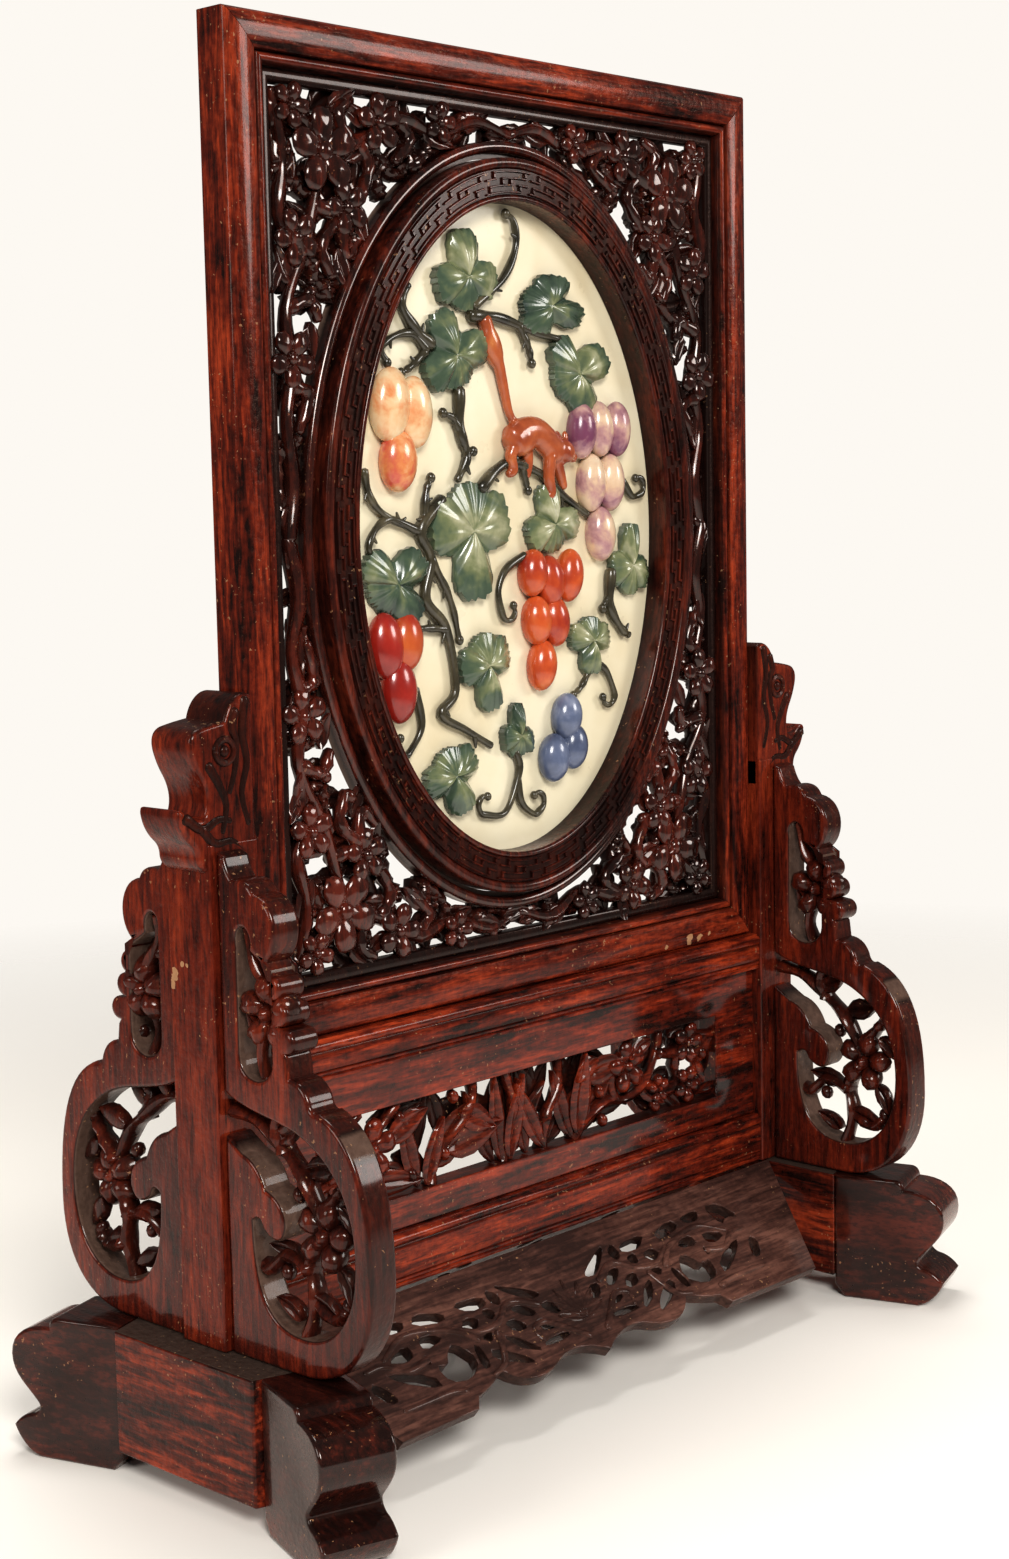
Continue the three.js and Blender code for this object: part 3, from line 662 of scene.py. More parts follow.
    @staticmethod
    def hand_over(
        item: bpy.types.Object, node: str, slot: str, material: bpy.types.Material, sharp: float = 40.0
    ) -> None:
        """Dresses a finished piece and sets it in the place of its solid.

        Args:
            item: the piece.
            node: the solid it stands for, which gives its name.
            slot: the record's finish; not used.
            material: the look.
            sharp: edges over this angle stay crisp, in degrees.
        """
        item.name = f"{node}_carved"
        item.data.materials.clear()
        item.data.materials.append(material)
        Bench.take(item)
        bpy.ops.object.shade_smooth_by_angle(angle=math.radians(sharp))
        Bench.apply(item, "WEIGHTED_NORMAL", keep_sharp=True, weight=80)
        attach(item, BODY)
        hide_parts(node)
        log.info("%s: %d faces", item.name, len(item.data.polygons))


class Outline:
    """A drawn line of straight and curved runs."""

    def __init__(self, x: float, y: float, steps: int = 8) -> None:
        """Starts the line at a point."""
        self.points: list[Point2] = [(x, y)]
        self.steps = steps

    def line(self, x: float, y: float) -> "Outline":
        """A straight run."""
        self.points.append((x, y))
        return self

    def curve(self, *controls: Point2) -> "Outline":
        """Adds a curved run.

        Args:
            controls: one or two handles and the run's end.

        Returns:
            The line itself.
        """
        handles = [self.points[-1], *controls]
        degree = len(handles) - 1
        for step in range(1, self.steps + 1):
            t = step / self.steps
            weights = [math.comb(degree, i) * t**i * (1 - t) ** (degree - i) for i in range(degree + 1)]
            spot = [sum(w * h[axis] for w, h in zip(weights, handles)) for axis in (0, 1)]
            self.points.append((spot[0], spot[1]))
        return self

    def mirrored(self, sign: float) -> list[Point2]:
        """The points with the first coordinate turned round."""
        return [(sign * x, y) for x, y in self.points]


def smooth_path(knots: Sequence[Sequence[float]], steps: int = 5) -> np.ndarray:
    """A smooth line through knots.

    Args:
        knots: points in two or three coordinates.
        steps: points for each run between knots.

    Returns:
        The line's points.
    """
    base = np.array(knots, float)
    padded = np.vstack([2 * base[0] - base[1], base, 2 * base[-1] - base[-2]])
    line = []
    for i in range(len(base) - 1):
        p0, p1, p2, p3 = padded[i : i + 4]
        for step in range(steps):
            t = step / steps
            line.append(
                0.5 * (2 * p1 + (p2 - p0) * t + (2 * p0 - 5 * p1 + 4 * p2 - p3) * t**2
                       + (3 * p1 - p0 - 3 * p2 + p3) * t**3)
            )
    return np.array([*line, base[-1]])


class Carving:
    """Closed carved forms gathered into one mesh, drawn on a plane and given relief."""

    def __init__(self, place: Matrix) -> None:
        """Starts an empty carving.

        Args:
            place: the drawing plane in millimetres; its third axis points out.
        """
        self.place = np.array(place, float)
        self.spots: list[np.ndarray] = []
        self.faces: list[list[int]] = []
        self.tints: list[np.ndarray] = []
        self.count = 0

    def rings(self, rings: Sequence[np.ndarray], tint: float | np.ndarray = 0.0) -> None:
        """Adds a form from closed rings of points, capped at both ends.

        Args:
            rings: points on the plane and out of it, ring by ring.
            tint: the form's own shade, for all points or for each.
        """
        size = len(rings[0])
        faces = bands(len(rings), size)
        faces.append(list(range(size))[::-1])
        faces.append([(len(rings) - 1) * size + j for j in range(size)])
        spots = np.vstack(rings)
        self.faces.extend([index + self.count for index in face] for face in faces)
        self.spots.append(spots)
        self.tints.append(np.full(len(spots), tint))
        self.count += len(spots)

    def tube(
        self, knots: Sequence[Sequence[float]], start: float, end: float, sides: int = 8,
        steps: int = 5, flat: float = 1.0, knobbly: float = 0.0, tint: float = 0.0,
    ) -> None:
        """Adds a round stem.

        Args:
            knots: points x, y and, if given, the height out of the plane.
            start: radius at the first knot.
            end: radius at the last.
            sides: faces round the stem.
            steps: rings for each run.
            flat: depth as a share of the width.
            knobbly: swelling along the stem.
            tint: the stem's own shade.
        """
        line = smooth_path([(*k, 0.0) if len(k) == 2 else tuple(k) for k in knots], steps)
        ahead = np.gradient(line, axis=0)
        ahead /= np.linalg.norm(ahead, axis=1)[:, None] + SMALL
        share = np.linspace(0.0, 1.0, len(line))
        radii = start + (end - start) * share
        radii = radii * (1.0 + knobbly * np.sin(share * 19.0 + start * 7.0))
        turns = np.linspace(0.0, 2 * math.pi, sides, endpoint=False)
        rings = []
        for centre, way, radius in zip(line, ahead, radii):
            side = np.cross(way, (0.0, 0.0, 1.0))
            side /= np.linalg.norm(side) + SMALL
            out = np.cross(side, way)
            ring = centre + radius * (np.outer(np.cos(turns), side) + flat * np.outer(np.sin(turns), out))
            rings.append(ring)
        first = line[0] + (rings[0] - line[0]) * 0.55 - ahead[0] * start * 0.5
        last = line[-1] + (rings[-1] - line[-1]) * 0.55 + ahead[-1] * end * 0.5
        self.rings([first, *rings, last], tint)

    def bead(
        self, x: float, y: float, out: float, radii: Point3, turn: float = 0.0, tint: float = 0.0,
        fine: int = 8,
    ) -> None:
        """Adds a rounded bud or berry.

        Args:
            x: place of its middle.
            y: place of its middle.
            out: height of its middle.
            radii: half its width, length and thickness.
            turn: its lean.
            tint: its own shade.
            fine: rings along it.
        """
        heights = np.linspace(-0.97, 0.97, fine)
        turns = np.linspace(0.0, 2 * math.pi, fine + 2, endpoint=False)
        across = np.array([math.cos(turn), math.sin(turn), 0.0])
        along = np.array([-math.sin(turn), math.cos(turn), 0.0])
        rings = []
        for height in np.sin(heights * math.pi / 2):
            reach = math.sqrt(max(0.0, 1.0 - height * height))
            ring = np.outer(radii[0] * reach * np.cos(turns), across)
            ring += np.outer(radii[2] * reach * np.sin(turns), (0.0, 0.0, 1.0))
            rings.append(ring + radii[1] * height * along + np.array([x, y, out]))
        self.rings(rings, tint)

    def leaf(
        self, x: float, y: float, out: float, length: float, width: float, turn: float,
        thick: float = 2.6, curl: float = 2.0, teeth: float = 0.0, tint: float = 0.0,
    ) -> None:
        """Adds a pointed leaf with a sunk midrib and a curled tip.

        Args:
            x: place of its foot.
            y: place of its foot.
            out: height of its foot.
            length: length of the blade.
            width: its greatest width.
            turn: direction of the tip.
            thick: thickness of the blade.
            curl: rise of the tip.
            teeth: depth of the notched edge.
            tint: its own shade.
        """
        rows, half = 9, 3
        cos, sin = math.cos(turn), math.sin(turn)
        rings = []
        for row in range(rows + 1):
            t = row / rows
            reach = width / 2 * math.sin(math.pi * min(1.0, t**0.8 * 0.97 + 0.03)) ** 0.8 + 0.25
            if row % 2:
                reach *= 1.0 - teeth
            base = out + curl * (t * t - 0.25 * math.sin(math.pi * t))
            across = np.linspace(-1.0, 1.0, 2 * half + 1)
            dome = np.sqrt(np.maximum(0.0, 1.02 - across**2)) * thick / 2
            rib = 0.38 * thick * bell(across, 0.0, 0.3)
            top = np.stack([across * reach, base + dome - rib + 0.1 * reach * across**2], 1)
            low = np.stack([across[::-1] * reach, base - dome + 0.3 * rib + 0.1 * reach * across**2], 1)
            section = np.vstack([top, low[1:-1]])
            spots = np.zeros((len(section), 3))
            spots[:, 0] = x + cos * t * length - sin * section[:, 0]
            spots[:, 1] = y + sin * t * length + cos * section[:, 0]
            spots[:, 2] = section[:, 1]
            rings.append(spots)
        self.rings(rings, tint)

    def blossom(
        self, x: float, y: float, out: float, radius: float, turn: float, thick: float = 5.0
    ) -> None:
        """Adds a five-petalled blossom with cupped petals round a boss.

        Args:
            x: place of its middle.
            y: place of its middle.
            out: height of its middle.
            radius: reach of the petals.
            turn: direction of the first petal.
            thick: thickness of a petal.
        """
        petals, rounds, fine = 5, 12, 6
        turns = np.linspace(0.0, 2 * math.pi, rounds, endpoint=False)
        for petal in range(petals):
            way = turn + petal * 2 * math.pi / petals
            ahead = np.array([math.cos(way), math.sin(way), 0.0])
            side = np.array([-math.sin(way), math.cos(way), 0.0])
            centre = np.array([x, y, out]) + ahead * radius * 0.56
            rings = []
            for height in np.sin(np.linspace(-0.96, 0.96, fine + 3) * math.pi / 2):
                reach = math.sqrt(1.0 - height * height)
                crease = bell(np.sin(turns) * reach, 0.0, 0.28) * reach * math.copysign(0.16, height)
                ring = np.outer(0.5 * radius * reach * np.cos(turns), ahead)
                taper = 0.36 + 0.08 * np.cos(turns)
                ring += np.outer(taper * radius * reach * np.sin(turns), side)
                ring[:, 2] += thick * (height / 2 - crease) + 0.14 * thick * (np.cos(turns) * reach)
                rings.append(ring + centre)
            self.rings(rings, 0.1 * petal)
        boss = radius * 0.25
        self.bead(x, y, out, (boss, boss, thick * 0.56), fine=7)

    def foliage(
        self, stems: Sequence[Sequence[Point2]], sway: Point2, radii: Point2, flat: float, knobbly: float
    ) -> None:
        """Adds branches that rise and dip.

        Args:
            stems: the branches' knots.
            sway: how far they rise and how fast.
            radii: radius at the foot and at the tip.
            flat: depth as a share of the width.
            knobbly: swelling along a branch.
        """
        for index, knots in enumerate(stems):
            spots = [(x, y, sway[0] * math.sin(sway[1] * i + index)) for i, (x, y) in enumerate(knots)]
            self.tube(spots, *radii, flat=flat, knobbly=knobbly)

    def make(self, name: str, low: float = -3.0, high: float = 2.0) -> bpy.types.Object:
        """Makes the object.

        Args:
            name: its name.
            low: height out of the plane that is wholly in painted shade.
            high: height that is free of painted shade.

        Returns:
            The carved object.
        """
        local = np.vstack(self.spots)
        world = local @ self.place[:3, :3].T + self.place[:3, 3]
        item = Bench.shape(name, (world * MM).tolist(), self.faces)
        Bench.store(item, "tint", np.concatenate(self.tints))
        # Painted shade: the deeper a point lies, the darker it is painted.
        Bench.painted_shade_and_dust(item, np.clip((high - local[:, 2]) / (high - low), 0.0, 1.0))
        Bench.edit(item)
        bpy.ops.mesh.normals_make_consistent(inside=False)
        Bench.close()
        return item


def upright_plane(depth: float) -> Matrix:
    """The drawing plane X and Z at a depth Y, facing the front."""
    return Matrix(((1, 0, 0, 0), (0, 0, -1, depth), (0, 1, 0, 0), (0, 0, 0, 1)))


def level_plan(side: int, inner: Point2, outer: Point2, height: float) -> list[Point3]:
    """Draws a four-sided plan on one side of the stand.

    Args:
        side: left or right as a sign.
        inner: distance from the middle and half depth of the inner edge.
        outer: the same of the outer edge.
        height: where the plan lies.

    Returns:
        Its corners.
    """
    ends = ((inner, -1), (outer, -1), (outer, 1), (inner, 1))
    return [(side * x, way * depth, height) for (x, depth), way in ends]


def side_plane(x: float, y: float, way: float) -> Matrix:
    """The drawing plane of Y and Z at a place, its first axis along Y one way or the other."""
    return Matrix(((0, 0, way, x), (way, 0, 0, y), (0, 1, 0, 0), (0, 0, 0, 1)))


def oval_sweep(name: str, profile: Sequence[Point2], segments: int = 144) -> bpy.types.Object:
    """Sweeps a closed profile round the stone's oval.

    Args:
        name: the object's name.
        profile: points as offset from the stone's edge and depth Y.
        segments: steps round the oval.

    Returns:
        The swept ring.
    """
    turns = np.linspace(0.0, 2 * math.pi, segments, endpoint=False)
    spots = [oval_spot(turn, offset, depth) for turn in turns for offset, depth in profile]
    faces = bands(segments, len(profile), closed=True)
    item = Bench.shape(name, [Vector(spot) * MM for spot in spots], faces)
    Bench.weld(item)
    return item


def oval_spot(turn: float, offset: float, depth: float) -> Point3:
    """A point beside the stone's edge."""
    x = (STONE_HALF[0] + offset) * math.cos(turn)
    return (x, depth, SCREEN_MID + (STONE_HALF[1] + offset) * math.sin(turn))


WOODS: dict[str, WoodFinish] = {
    "frame_across": WoodFinish(
        "frame_rosewood_across", Grain.ACROSS,
        nicks=(
            ((111, -8.4, 180), 2.4), ((118.7, -8.4, 180.2), 1.8), ((94, -8.4, 178.6), 1.4),
            ((126, -8.4, 181), 1.2),
        ),
    ),
    "frame_upright": WoodFinish("frame_rosewood_upright", Grain.UPRIGHT),
    "openwork": WoodFinish(
        "openwork_rosewood", Grain.UPRIGHT, middle=(0.03, 0.008, 0.006), light=(0.11, 0.022, 0.013),
        roughness=0.2, polish=1.0, ripple=0.22, chip_and_glint_share=0.3,
    ),
    "ring": WoodFinish(
        "ring_rosewood", Grain.UPRIGHT, middle=(0.042, 0.008, 0.0055), light=(0.15, 0.026, 0.012),
        polish=0.5, ripple=0.25,
    ),
    "stand_across": WoodFinish(
        "stand_rosewood_across", Grain.ACROSS, middle=(0.135, 0.0155, 0.0065), light=(0.42, 0.06, 0.017),
    ),
    "waist": WoodFinish(
        "waist_rosewood", Grain.ACROSS, middle=(0.115, 0.0145, 0.0065), light=(0.36, 0.052, 0.016),
        polish=0.7, ripple=0.26,
    ),
    "stand_upright": WoodFinish(
        "stand_rosewood_upright", Grain.UPRIGHT, middle=(0.115, 0.0145, 0.0065), light=(0.3, 0.046, 0.015),
        contrast=1.7,
        nicks=(
            ((-186, 9.8, 209), 2.2), ((-186, 11.2, 205), 1.8), ((-186, 5.2, 213.4), 1.1),
            ((-186, 2.2, 213.4), 0.9),
        ),
    ),
    "stand_deep": WoodFinish("stand_rosewood_deep", Grain.DEEP, middle=(0.085, 0.012, 0.006), contrast=2.7),
    "bracket": WoodFinish(
        "bracket_rosewood", Grain.UPRIGHT, middle=(0.078, 0.011, 0.006), light=(0.26, 0.038, 0.013),
        polish=0.55, ripple=0.55, contrast=1.8, dulling=0.1,
    ),
    "toe": WoodFinish(
        "toe_dark_rosewood", Grain.DEEP, middle=(0.026, 0.0065, 0.005), light=(0.12, 0.022, 0.012),
        polish=0.8, ripple=0.4,
    ),
    "apron": WoodFinish(
        "apron_dull_wood", Grain.ACROSS, dark=(0.03, 0.016, 0.014), middle=(0.075, 0.036, 0.029),
        light=(0.17, 0.085, 0.065), roughness=0.42, polish=0.3, contrast=2.8, dulling=0.3,
    ),
}

STONES: dict[str, StoneFinish] = {
    "plaque_stone": StoneFinish(
        "plaque_pale_celadon",
        ((0.25, (0.75, 0.64, 0.43)), (0.5, (0.85, 0.775, 0.58)), (0.75, (0.92, 0.87, 0.72))),
        cloud=13.0, roughness=0.3, polish=0.2,
    ),
    "leaf_stone": StoneFinish(
        "leaf_green_stone",
        ((0.18, (0.026, 0.047, 0.036)), (0.37, (0.07, 0.107, 0.066)), (0.5, (0.18, 0.205, 0.1)),
         (0.62, (0.38, 0.38, 0.23)), (0.76, (0.64, 0.62, 0.48))),
        cloud=48.0, tint=0.24, polish=0.6,
    ),
    "vine_stone": StoneFinish(
        "vine_dark_stone",
        ((0.3, (0.017, 0.015, 0.009)), (0.5, (0.055, 0.046, 0.026)), (0.75, (0.17, 0.14, 0.08))),
        cloud=70.0, polish=0.4,
    ),
    "peach_stone": StoneFinish(
        "peach_cream_stone",
        ((0.3, (0.82, 0.66, 0.43)), (0.46, (0.8, 0.53, 0.3)), (0.6, (0.72, 0.27, 0.1)),
         (0.74, (0.6, 0.08, 0.06)),
         (0.88, (0.8, 0.5, 0.12))),
        cloud=80.0, polish=0.5, glow=0.15,
    ),
    "purple_stone": StoneFinish(
        "purple_cream_stone",
        ((0.32, (0.2, 0.06, 0.12)), (0.48, (0.5, 0.28, 0.28)), (0.62, (0.72, 0.52, 0.36)),
         (0.85, (0.8, 0.66, 0.48))),
        cloud=70.0, polish=0.5, glow=0.15,
    ),
    "orange_stone": StoneFinish(
        "orange_carnelian",
        ((0.3, (0.36, 0.03, 0.012)), (0.55, (0.6, 0.1, 0.022)), (0.8, (0.75, 0.22, 0.05))),
        cloud=60.0, polish=0.6, glow=0.15,
    ),
    "red_stone": StoneFinish(
        "red_carnelian",
        ((0.3, (0.2, 0.008, 0.006)), (0.55, (0.38, 0.022, 0.012)), (0.85, (0.6, 0.14, 0.03))),
        cloud=45.0, polish=0.6, glow=0.15,
    ),
    "blue_stone": StoneFinish(
        "slate_blue_stone",
        ((0.3, (0.05, 0.065, 0.12)), (0.55, (0.13, 0.16, 0.26)), (0.8, (0.3, 0.33, 0.44))),
        cloud=60.0, polish=0.6,
    ),
    "squirrel_stone": StoneFinish(
        "squirrel_amber_stone",
        ((0.3, (0.26, 0.045, 0.016)), (0.5, (0.46, 0.11, 0.034)), (0.72, (0.64, 0.25, 0.08))),
        cloud=50.0, polish=0.6, glow=0.1,
    ),
}


@dataclass
class Materials:
    """Every finish, made once."""

    def __post_init__(self) -> None:
        """Makes the woods and the stones."""
        self.woods = {key: finish.make() for key, finish in WOODS.items()}
        self.stones = {key: finish.make() for key, finish in STONES.items()}


@dataclass(frozen=True)
class Member:
    """One member of the screen's frame: the way it runs, the way inwards and its reach."""

    node: str
    run: Point2
    inward: Point2
    reach: float
    offset: float
    look: str

    def spot(self, along: float, inset: float, depth: float) -> Point3:
        """Finds a point of the member.

        Args:
            along: place along the member, from its middle.
            inset: distance from the frame's outer edge.
            depth: place on Y.

        Returns:
            The point in the shared frame.
        """
        x = self.run[0] * along + self.inward[0] * (inset - self.offset)
        z = self.run[1] * along + self.inward[1] * (inset - self.offset)
        return (x, depth, SCREEN_MID + z)


@dataclass
class ScreenFrame:
    """Four mitred members of one moulding."""

    half_width: float = 160.0
    half_height: float = 200.5
    face: float = 19.4
    back: float = 8.5
    gap: float = 0.15
    groove: float = 14.9
    groove_width: float = 0.6
    inner_edge: float = 18.6
    bead: float = 1.9

    def profile(self) -> list[Point2]:
        """Draws the moulding: a broad swell, a groove and a bead.

        Returns:
            Points as inset from the outer edge and depth.
        """
        swell = [(d, -self.back + 1.5 * ((d - 8.0) / 8.0) ** 2) for d in np.linspace(1.2, 14.2, 9)]
        bead = arc((17.0, -5.6), (self.bead, -self.bead), math.pi, 0.0, 8)
        return [
            (0.0, self.back), (0.0, -5.4), (0.4, -6.4), *swell, (14.8, -5.2), *bead, (self.face, -4.8),
            (self.face, self.back),
        ]

    def mitred(self, member: Member) -> bpy.types.Object:
        """Extrudes one member, cuts its mitres and paints shade into its groove and on its inner edge.

        Args:
            member: which one.

        Returns:
            The member.
        """
        run, inward, reach = member.run, member.inward, member.reach
        start = [member.spot(-reach, inset, depth) for inset, depth in self.profile()]
        item = Bench.bar(member.node, start, (run[0] * 2 * reach, 0.0, run[1] * 2 * reach))
        for end in (-1, 1):
            corner = Vector(member.spot(end * (reach - self.gap), 0.0, 0.0)) * MM
            away = Vector((run[0] * end + inward[0], 0.0, run[1] * end + inward[1])).normalized()
            Bench.edit(item)
            bpy.ops.mesh.bisect(plane_co=corner, plane_no=away, use_fill=True, clear_outer=True)
            Bench.close()
        spots = Bench.points(item)
        inset = member.offset - np.abs(spots[:, 0] * inward[0] + (spots[:, 2] - SCREEN_MID) * inward[1])
        # Painted shade in the groove and on the inner edge beside the panel.
        shade = bell(inset, self.groove, self.groove_width) + 0.8 * (inset > self.inner_edge)
        Bench.painted_shade_and_dust(item, shade * 0.9)
        return item

    def build(self, looks: Materials) -> None:
        """Makes the four members.

        Args:
            looks: the finishes.
        """
        wide, tall = self.half_width, self.half_height
        for member in (
            Member("screen_rail_bottom", (1, 0), (0, 1), wide, tall, "frame_across"),
            Member("screen_rail_top", (1, 0), (0, -1), wide, tall, "frame_across"),
            Member("screen_stile_left", (0, 1), (1, 0), tall, wide, "frame_upright"),
            Member("screen_stile_right", (0, 1), (-1, 0), tall, wide, "frame_upright"),
        ):
            Bench.hand_over(self.mitred(member), member.node, "screen_wood", looks.woods[member.look], 35.0)


@dataclass
class Corner:
    """One corner of the openwork, with small differences of its own."""

    side: int
    rise: int
    chance: random.Random
    play: float = 0.25

    def place(self, x: float, z: float, loose: float = 1.2) -> Point2:
        """Finds a point of the corner, with a little play.

        Args:
            x: distance from the middle, sideways.
            z: distance from the middle, up or down.
            loose: how far it may stray.

        Returns:
            The point on the drawing plane, kept off the border.
        """
        x += self.chance.uniform(-loose, loose)
        z += self.chance.uniform(-loose, loose)
        wide, tall = OpenworkPanel.REACH
        return (self.side * min(x, wide), SCREEN_MID + self.rise * min(z, tall))

    def heading(self, turn: float) -> float:
        """A direction turned into the corner, with a little play."""
        turn += self.chance.uniform(-self.play, self.play)
        return math.atan2(self.rise * math.sin(turn), self.side * math.cos(turn))


@dataclass
class OpenworkPanel:
    """The pierced board: border, oval rim and prunus foliage."""

    half_width: float = 140.3
    half_height: float = 180.8
    strip: float = 5.6
    seed: int = 11
    twigs: int = 46
    half_strip: float = 3.8

    REACH = (133.0, 174.0)
    LEAF_OVAL = (122.0, 164.0)
    TWIG_OVAL = (124.0, 166.0)
    RIM = (
        (18.5, 4.0), (18.5, 0.2), (20.5, 0.2), (20.5, -2.6), (20.9, -3.6), (21.8, -4.3), (23.0, -4.6),
        (24.2, -4.3), (25.1, -3.6), (25.5, -2.6), (25.5, 4.0),
    )
    STEMS = (
        ((130, 0), (126, 22), (131, 45), (126, 66), (129, 90), (119, 112), (112, 132), (106, 152)),
        ((106, 152), (86, 158), (64, 169), (42, 164), (20, 172), (0, 168)),
        ((119, 112), (131, 126), (127, 148), (132, 172)),
        ((112, 130), (99, 126), (96, 112), (88, 118)),
        ((86, 158), (80, 148), (88, 134)),
        ((64, 168), (57, 160), (68, 151)),
        ((107, 154), (119, 165), (132, 173)),
        ((128, 90), (116, 94), (112, 86)),
        ((98, 126), (108, 116), (104, 104)),
        ((128, 60), (119, 56), (124, 42)),
        ((94, 156), (98, 168), (90, 174)),
    )
    LEAVES = (
        (114, 163, 21, 11, 0.45), (125, 136, 20, 10, 1.4), (94, 150, 20, 10, 2.7), (89, 134, 17, 9, -1.9),
        (100, 114, 18, 9, -2.2), (72, 163, 20, 10, 2.0), (52, 167, 19, 9, -2.9), (28, 169, 19, 9, 2.9),
        (125, 98, 18, 9, 1.1), (117, 86, 15, 8, -1.9), (131, 32, 16, 7, 1.8), (127, 50, 15, 7, -1.7),
        (12, 168, 16, 8, 3.0), (112, 122, 19, 9, 0.4), (82, 164, 16, 8, 0.6), (104, 168, 16, 8, 2.6),
        (120, 150, 17, 9, -0.9), (62, 158, 15, 8, -0.6), (129, 108, 15, 7, -1.3), (129, 14, 14, 6, -1.4),
    )
    BLOSSOMS = (
        (107, 152, 16.5, 0.2), (127, 70, 11.5, 0.9), (76, 165, 11.5, 0.4), (124, 118, 11.0, 1.3),
        (95, 131, 11.0, 0.0), (42, 169, 8.5, 0.7), (124, 168, 9.0, 0.5),
    )

    @staticmethod
    def outside(x: float, z: float, oval: Point2) -> bool:
        """Whether a point lies outside an oval round the middle."""
        return (x / oval[0]) ** 2 + (z / oval[1]) ** 2 > 1.0

    def spray(self, carving: Carving, corner: Corner) -> None:
        """Carves one corner's branches, leaves, blossoms and buds.

        Args:
            carving: what it is added to.
            corner: which corner.
        """
        chance, place, heading = corner.chance, corner.place, corner.heading
        for knots in (*self.STEMS, *self.tangle(chance)):
            # Twigs of the tangle lie deeper, so the depth shading paints them dark, as shade between the
            # branches.
            deep = knots not in self.STEMS
            spots = [(*place(x, z, 0.6), chance.uniform(-0.4, 2.4) - 3.6 * deep) for x, z in knots]
            carving.tube(spots, 3.5 - 0.4 * deep, 2.5, steps=4, flat=1.15 + 0.3 * deep, knobbly=0.18)
        for x, z, length, width, turn in self.LEAVES:
            carving.leaf(
                *place(x, z), chance.uniform(-0.5, 1.8), length, width, heading(turn), thick=3.4,
                curl=chance.uniform(-1.0, 2.6), teeth=0.06,
            )
        for x, z, radius, turn in self.BLOSSOMS:
            carving.blossom(*place(x, z, 0.8), 3.4, radius, heading(turn), thick=5.6)
        # A deeper second layer of leaves, painted dark by its depth, as shade behind the front leaves.
        for x, z, length, width, turn in self.LEAVES:
            x, z = x - 5.0, z + 6.0
            if self.outside(x, z, self.LEAF_OVAL):
                carving.leaf(
                    *place(x, z), -2.4, length, width * 1.2, heading(turn + 2.0), thick=4.2, curl=0.4,
                    teeth=0.06,
                )
        for x, z in [knot for stem in self.STEMS for knot in stem][::4]:
            size = chance.uniform(2.3, 3.1)
            foot, out = place(x - 2.0, z + 2.0), chance.uniform(0.6, 2.0)
            carving.bead(*foot, out, (size, size * 1.25, size), heading(1.0), fine=6)

    def tangle(self, chance: random.Random, bend: float = 4.0) -> list[tuple[Point2, ...]]:
        """Lays deeper twigs behind one corner's branches, which the depth shading paints dark as shade in
        the gaps.

        Args:
            chance: where they lie.
            bend: how far a twig strays from its straight line.

        Returns:
            The twigs' knots.
        """
        spots: list[Point2] = []
        while len(spots) < self.twigs:
            x, z = (chance.uniform(0.0, limit) for limit in self.REACH)
            if self.outside(x, z, self.TWIG_OVAL):
                spots.append((x, z))
        runs = []
        for spot in spots:
            for other in sorted(spots, key=lambda far: math.dist(far, spot))[1:3]:
                middle = tuple((a + b) / 2 + chance.uniform(-bend, bend) for a, b in zip(spot, other))
                runs.append((spot, middle, other))
        return runs

    def build(self, looks: Materials) -> None:
        """Carves the board: oval rim, border strip and four corners.

        Args:
            looks: the finishes.
        """
        oval = oval_sweep("oval_rim", self.RIM)
        # Painted shade on the rim's deeper parts.
        Bench.painted_shade_and_dust(oval, (Bench.points(oval)[:, 1] + 3.4) / 3.0)
        corners = ((-1, -1), (1, -1), (1, 1), (-1, 1))
        edges = []
        for inset in (0.0, self.strip):
            wide, tall = self.half_width - inset, self.half_height - inset
            edges.append([(side * wide, SCREEN_MID + rise * tall) for side, rise in corners])
        border = Bench.plate("border_strip", edges, self.half_strip, 2.3, upright_plane(0.2), steps=4)
        # Painted shade over the whole recessed border strip.
        Bench.painted_shade_and_dust(border, np.full(len(border.data.vertices), 0.9))
        carving = Carving(upright_plane(0.0))
        chance = random.Random(self.seed)
        for side in (-1, 1):
            for rise in (-1, 1):
                self.spray(carving, Corner(side, rise, chance))
        # The foliage is painted in shade by its depth.
        item = Bench.join("openwork_panel", [oval, border, carving.make("foliage", low=-1.6, high=3.4)])
        Bench.hand_over(item, "openwork_panel", "openwork_wood", looks.woods["openwork"], 50.0)


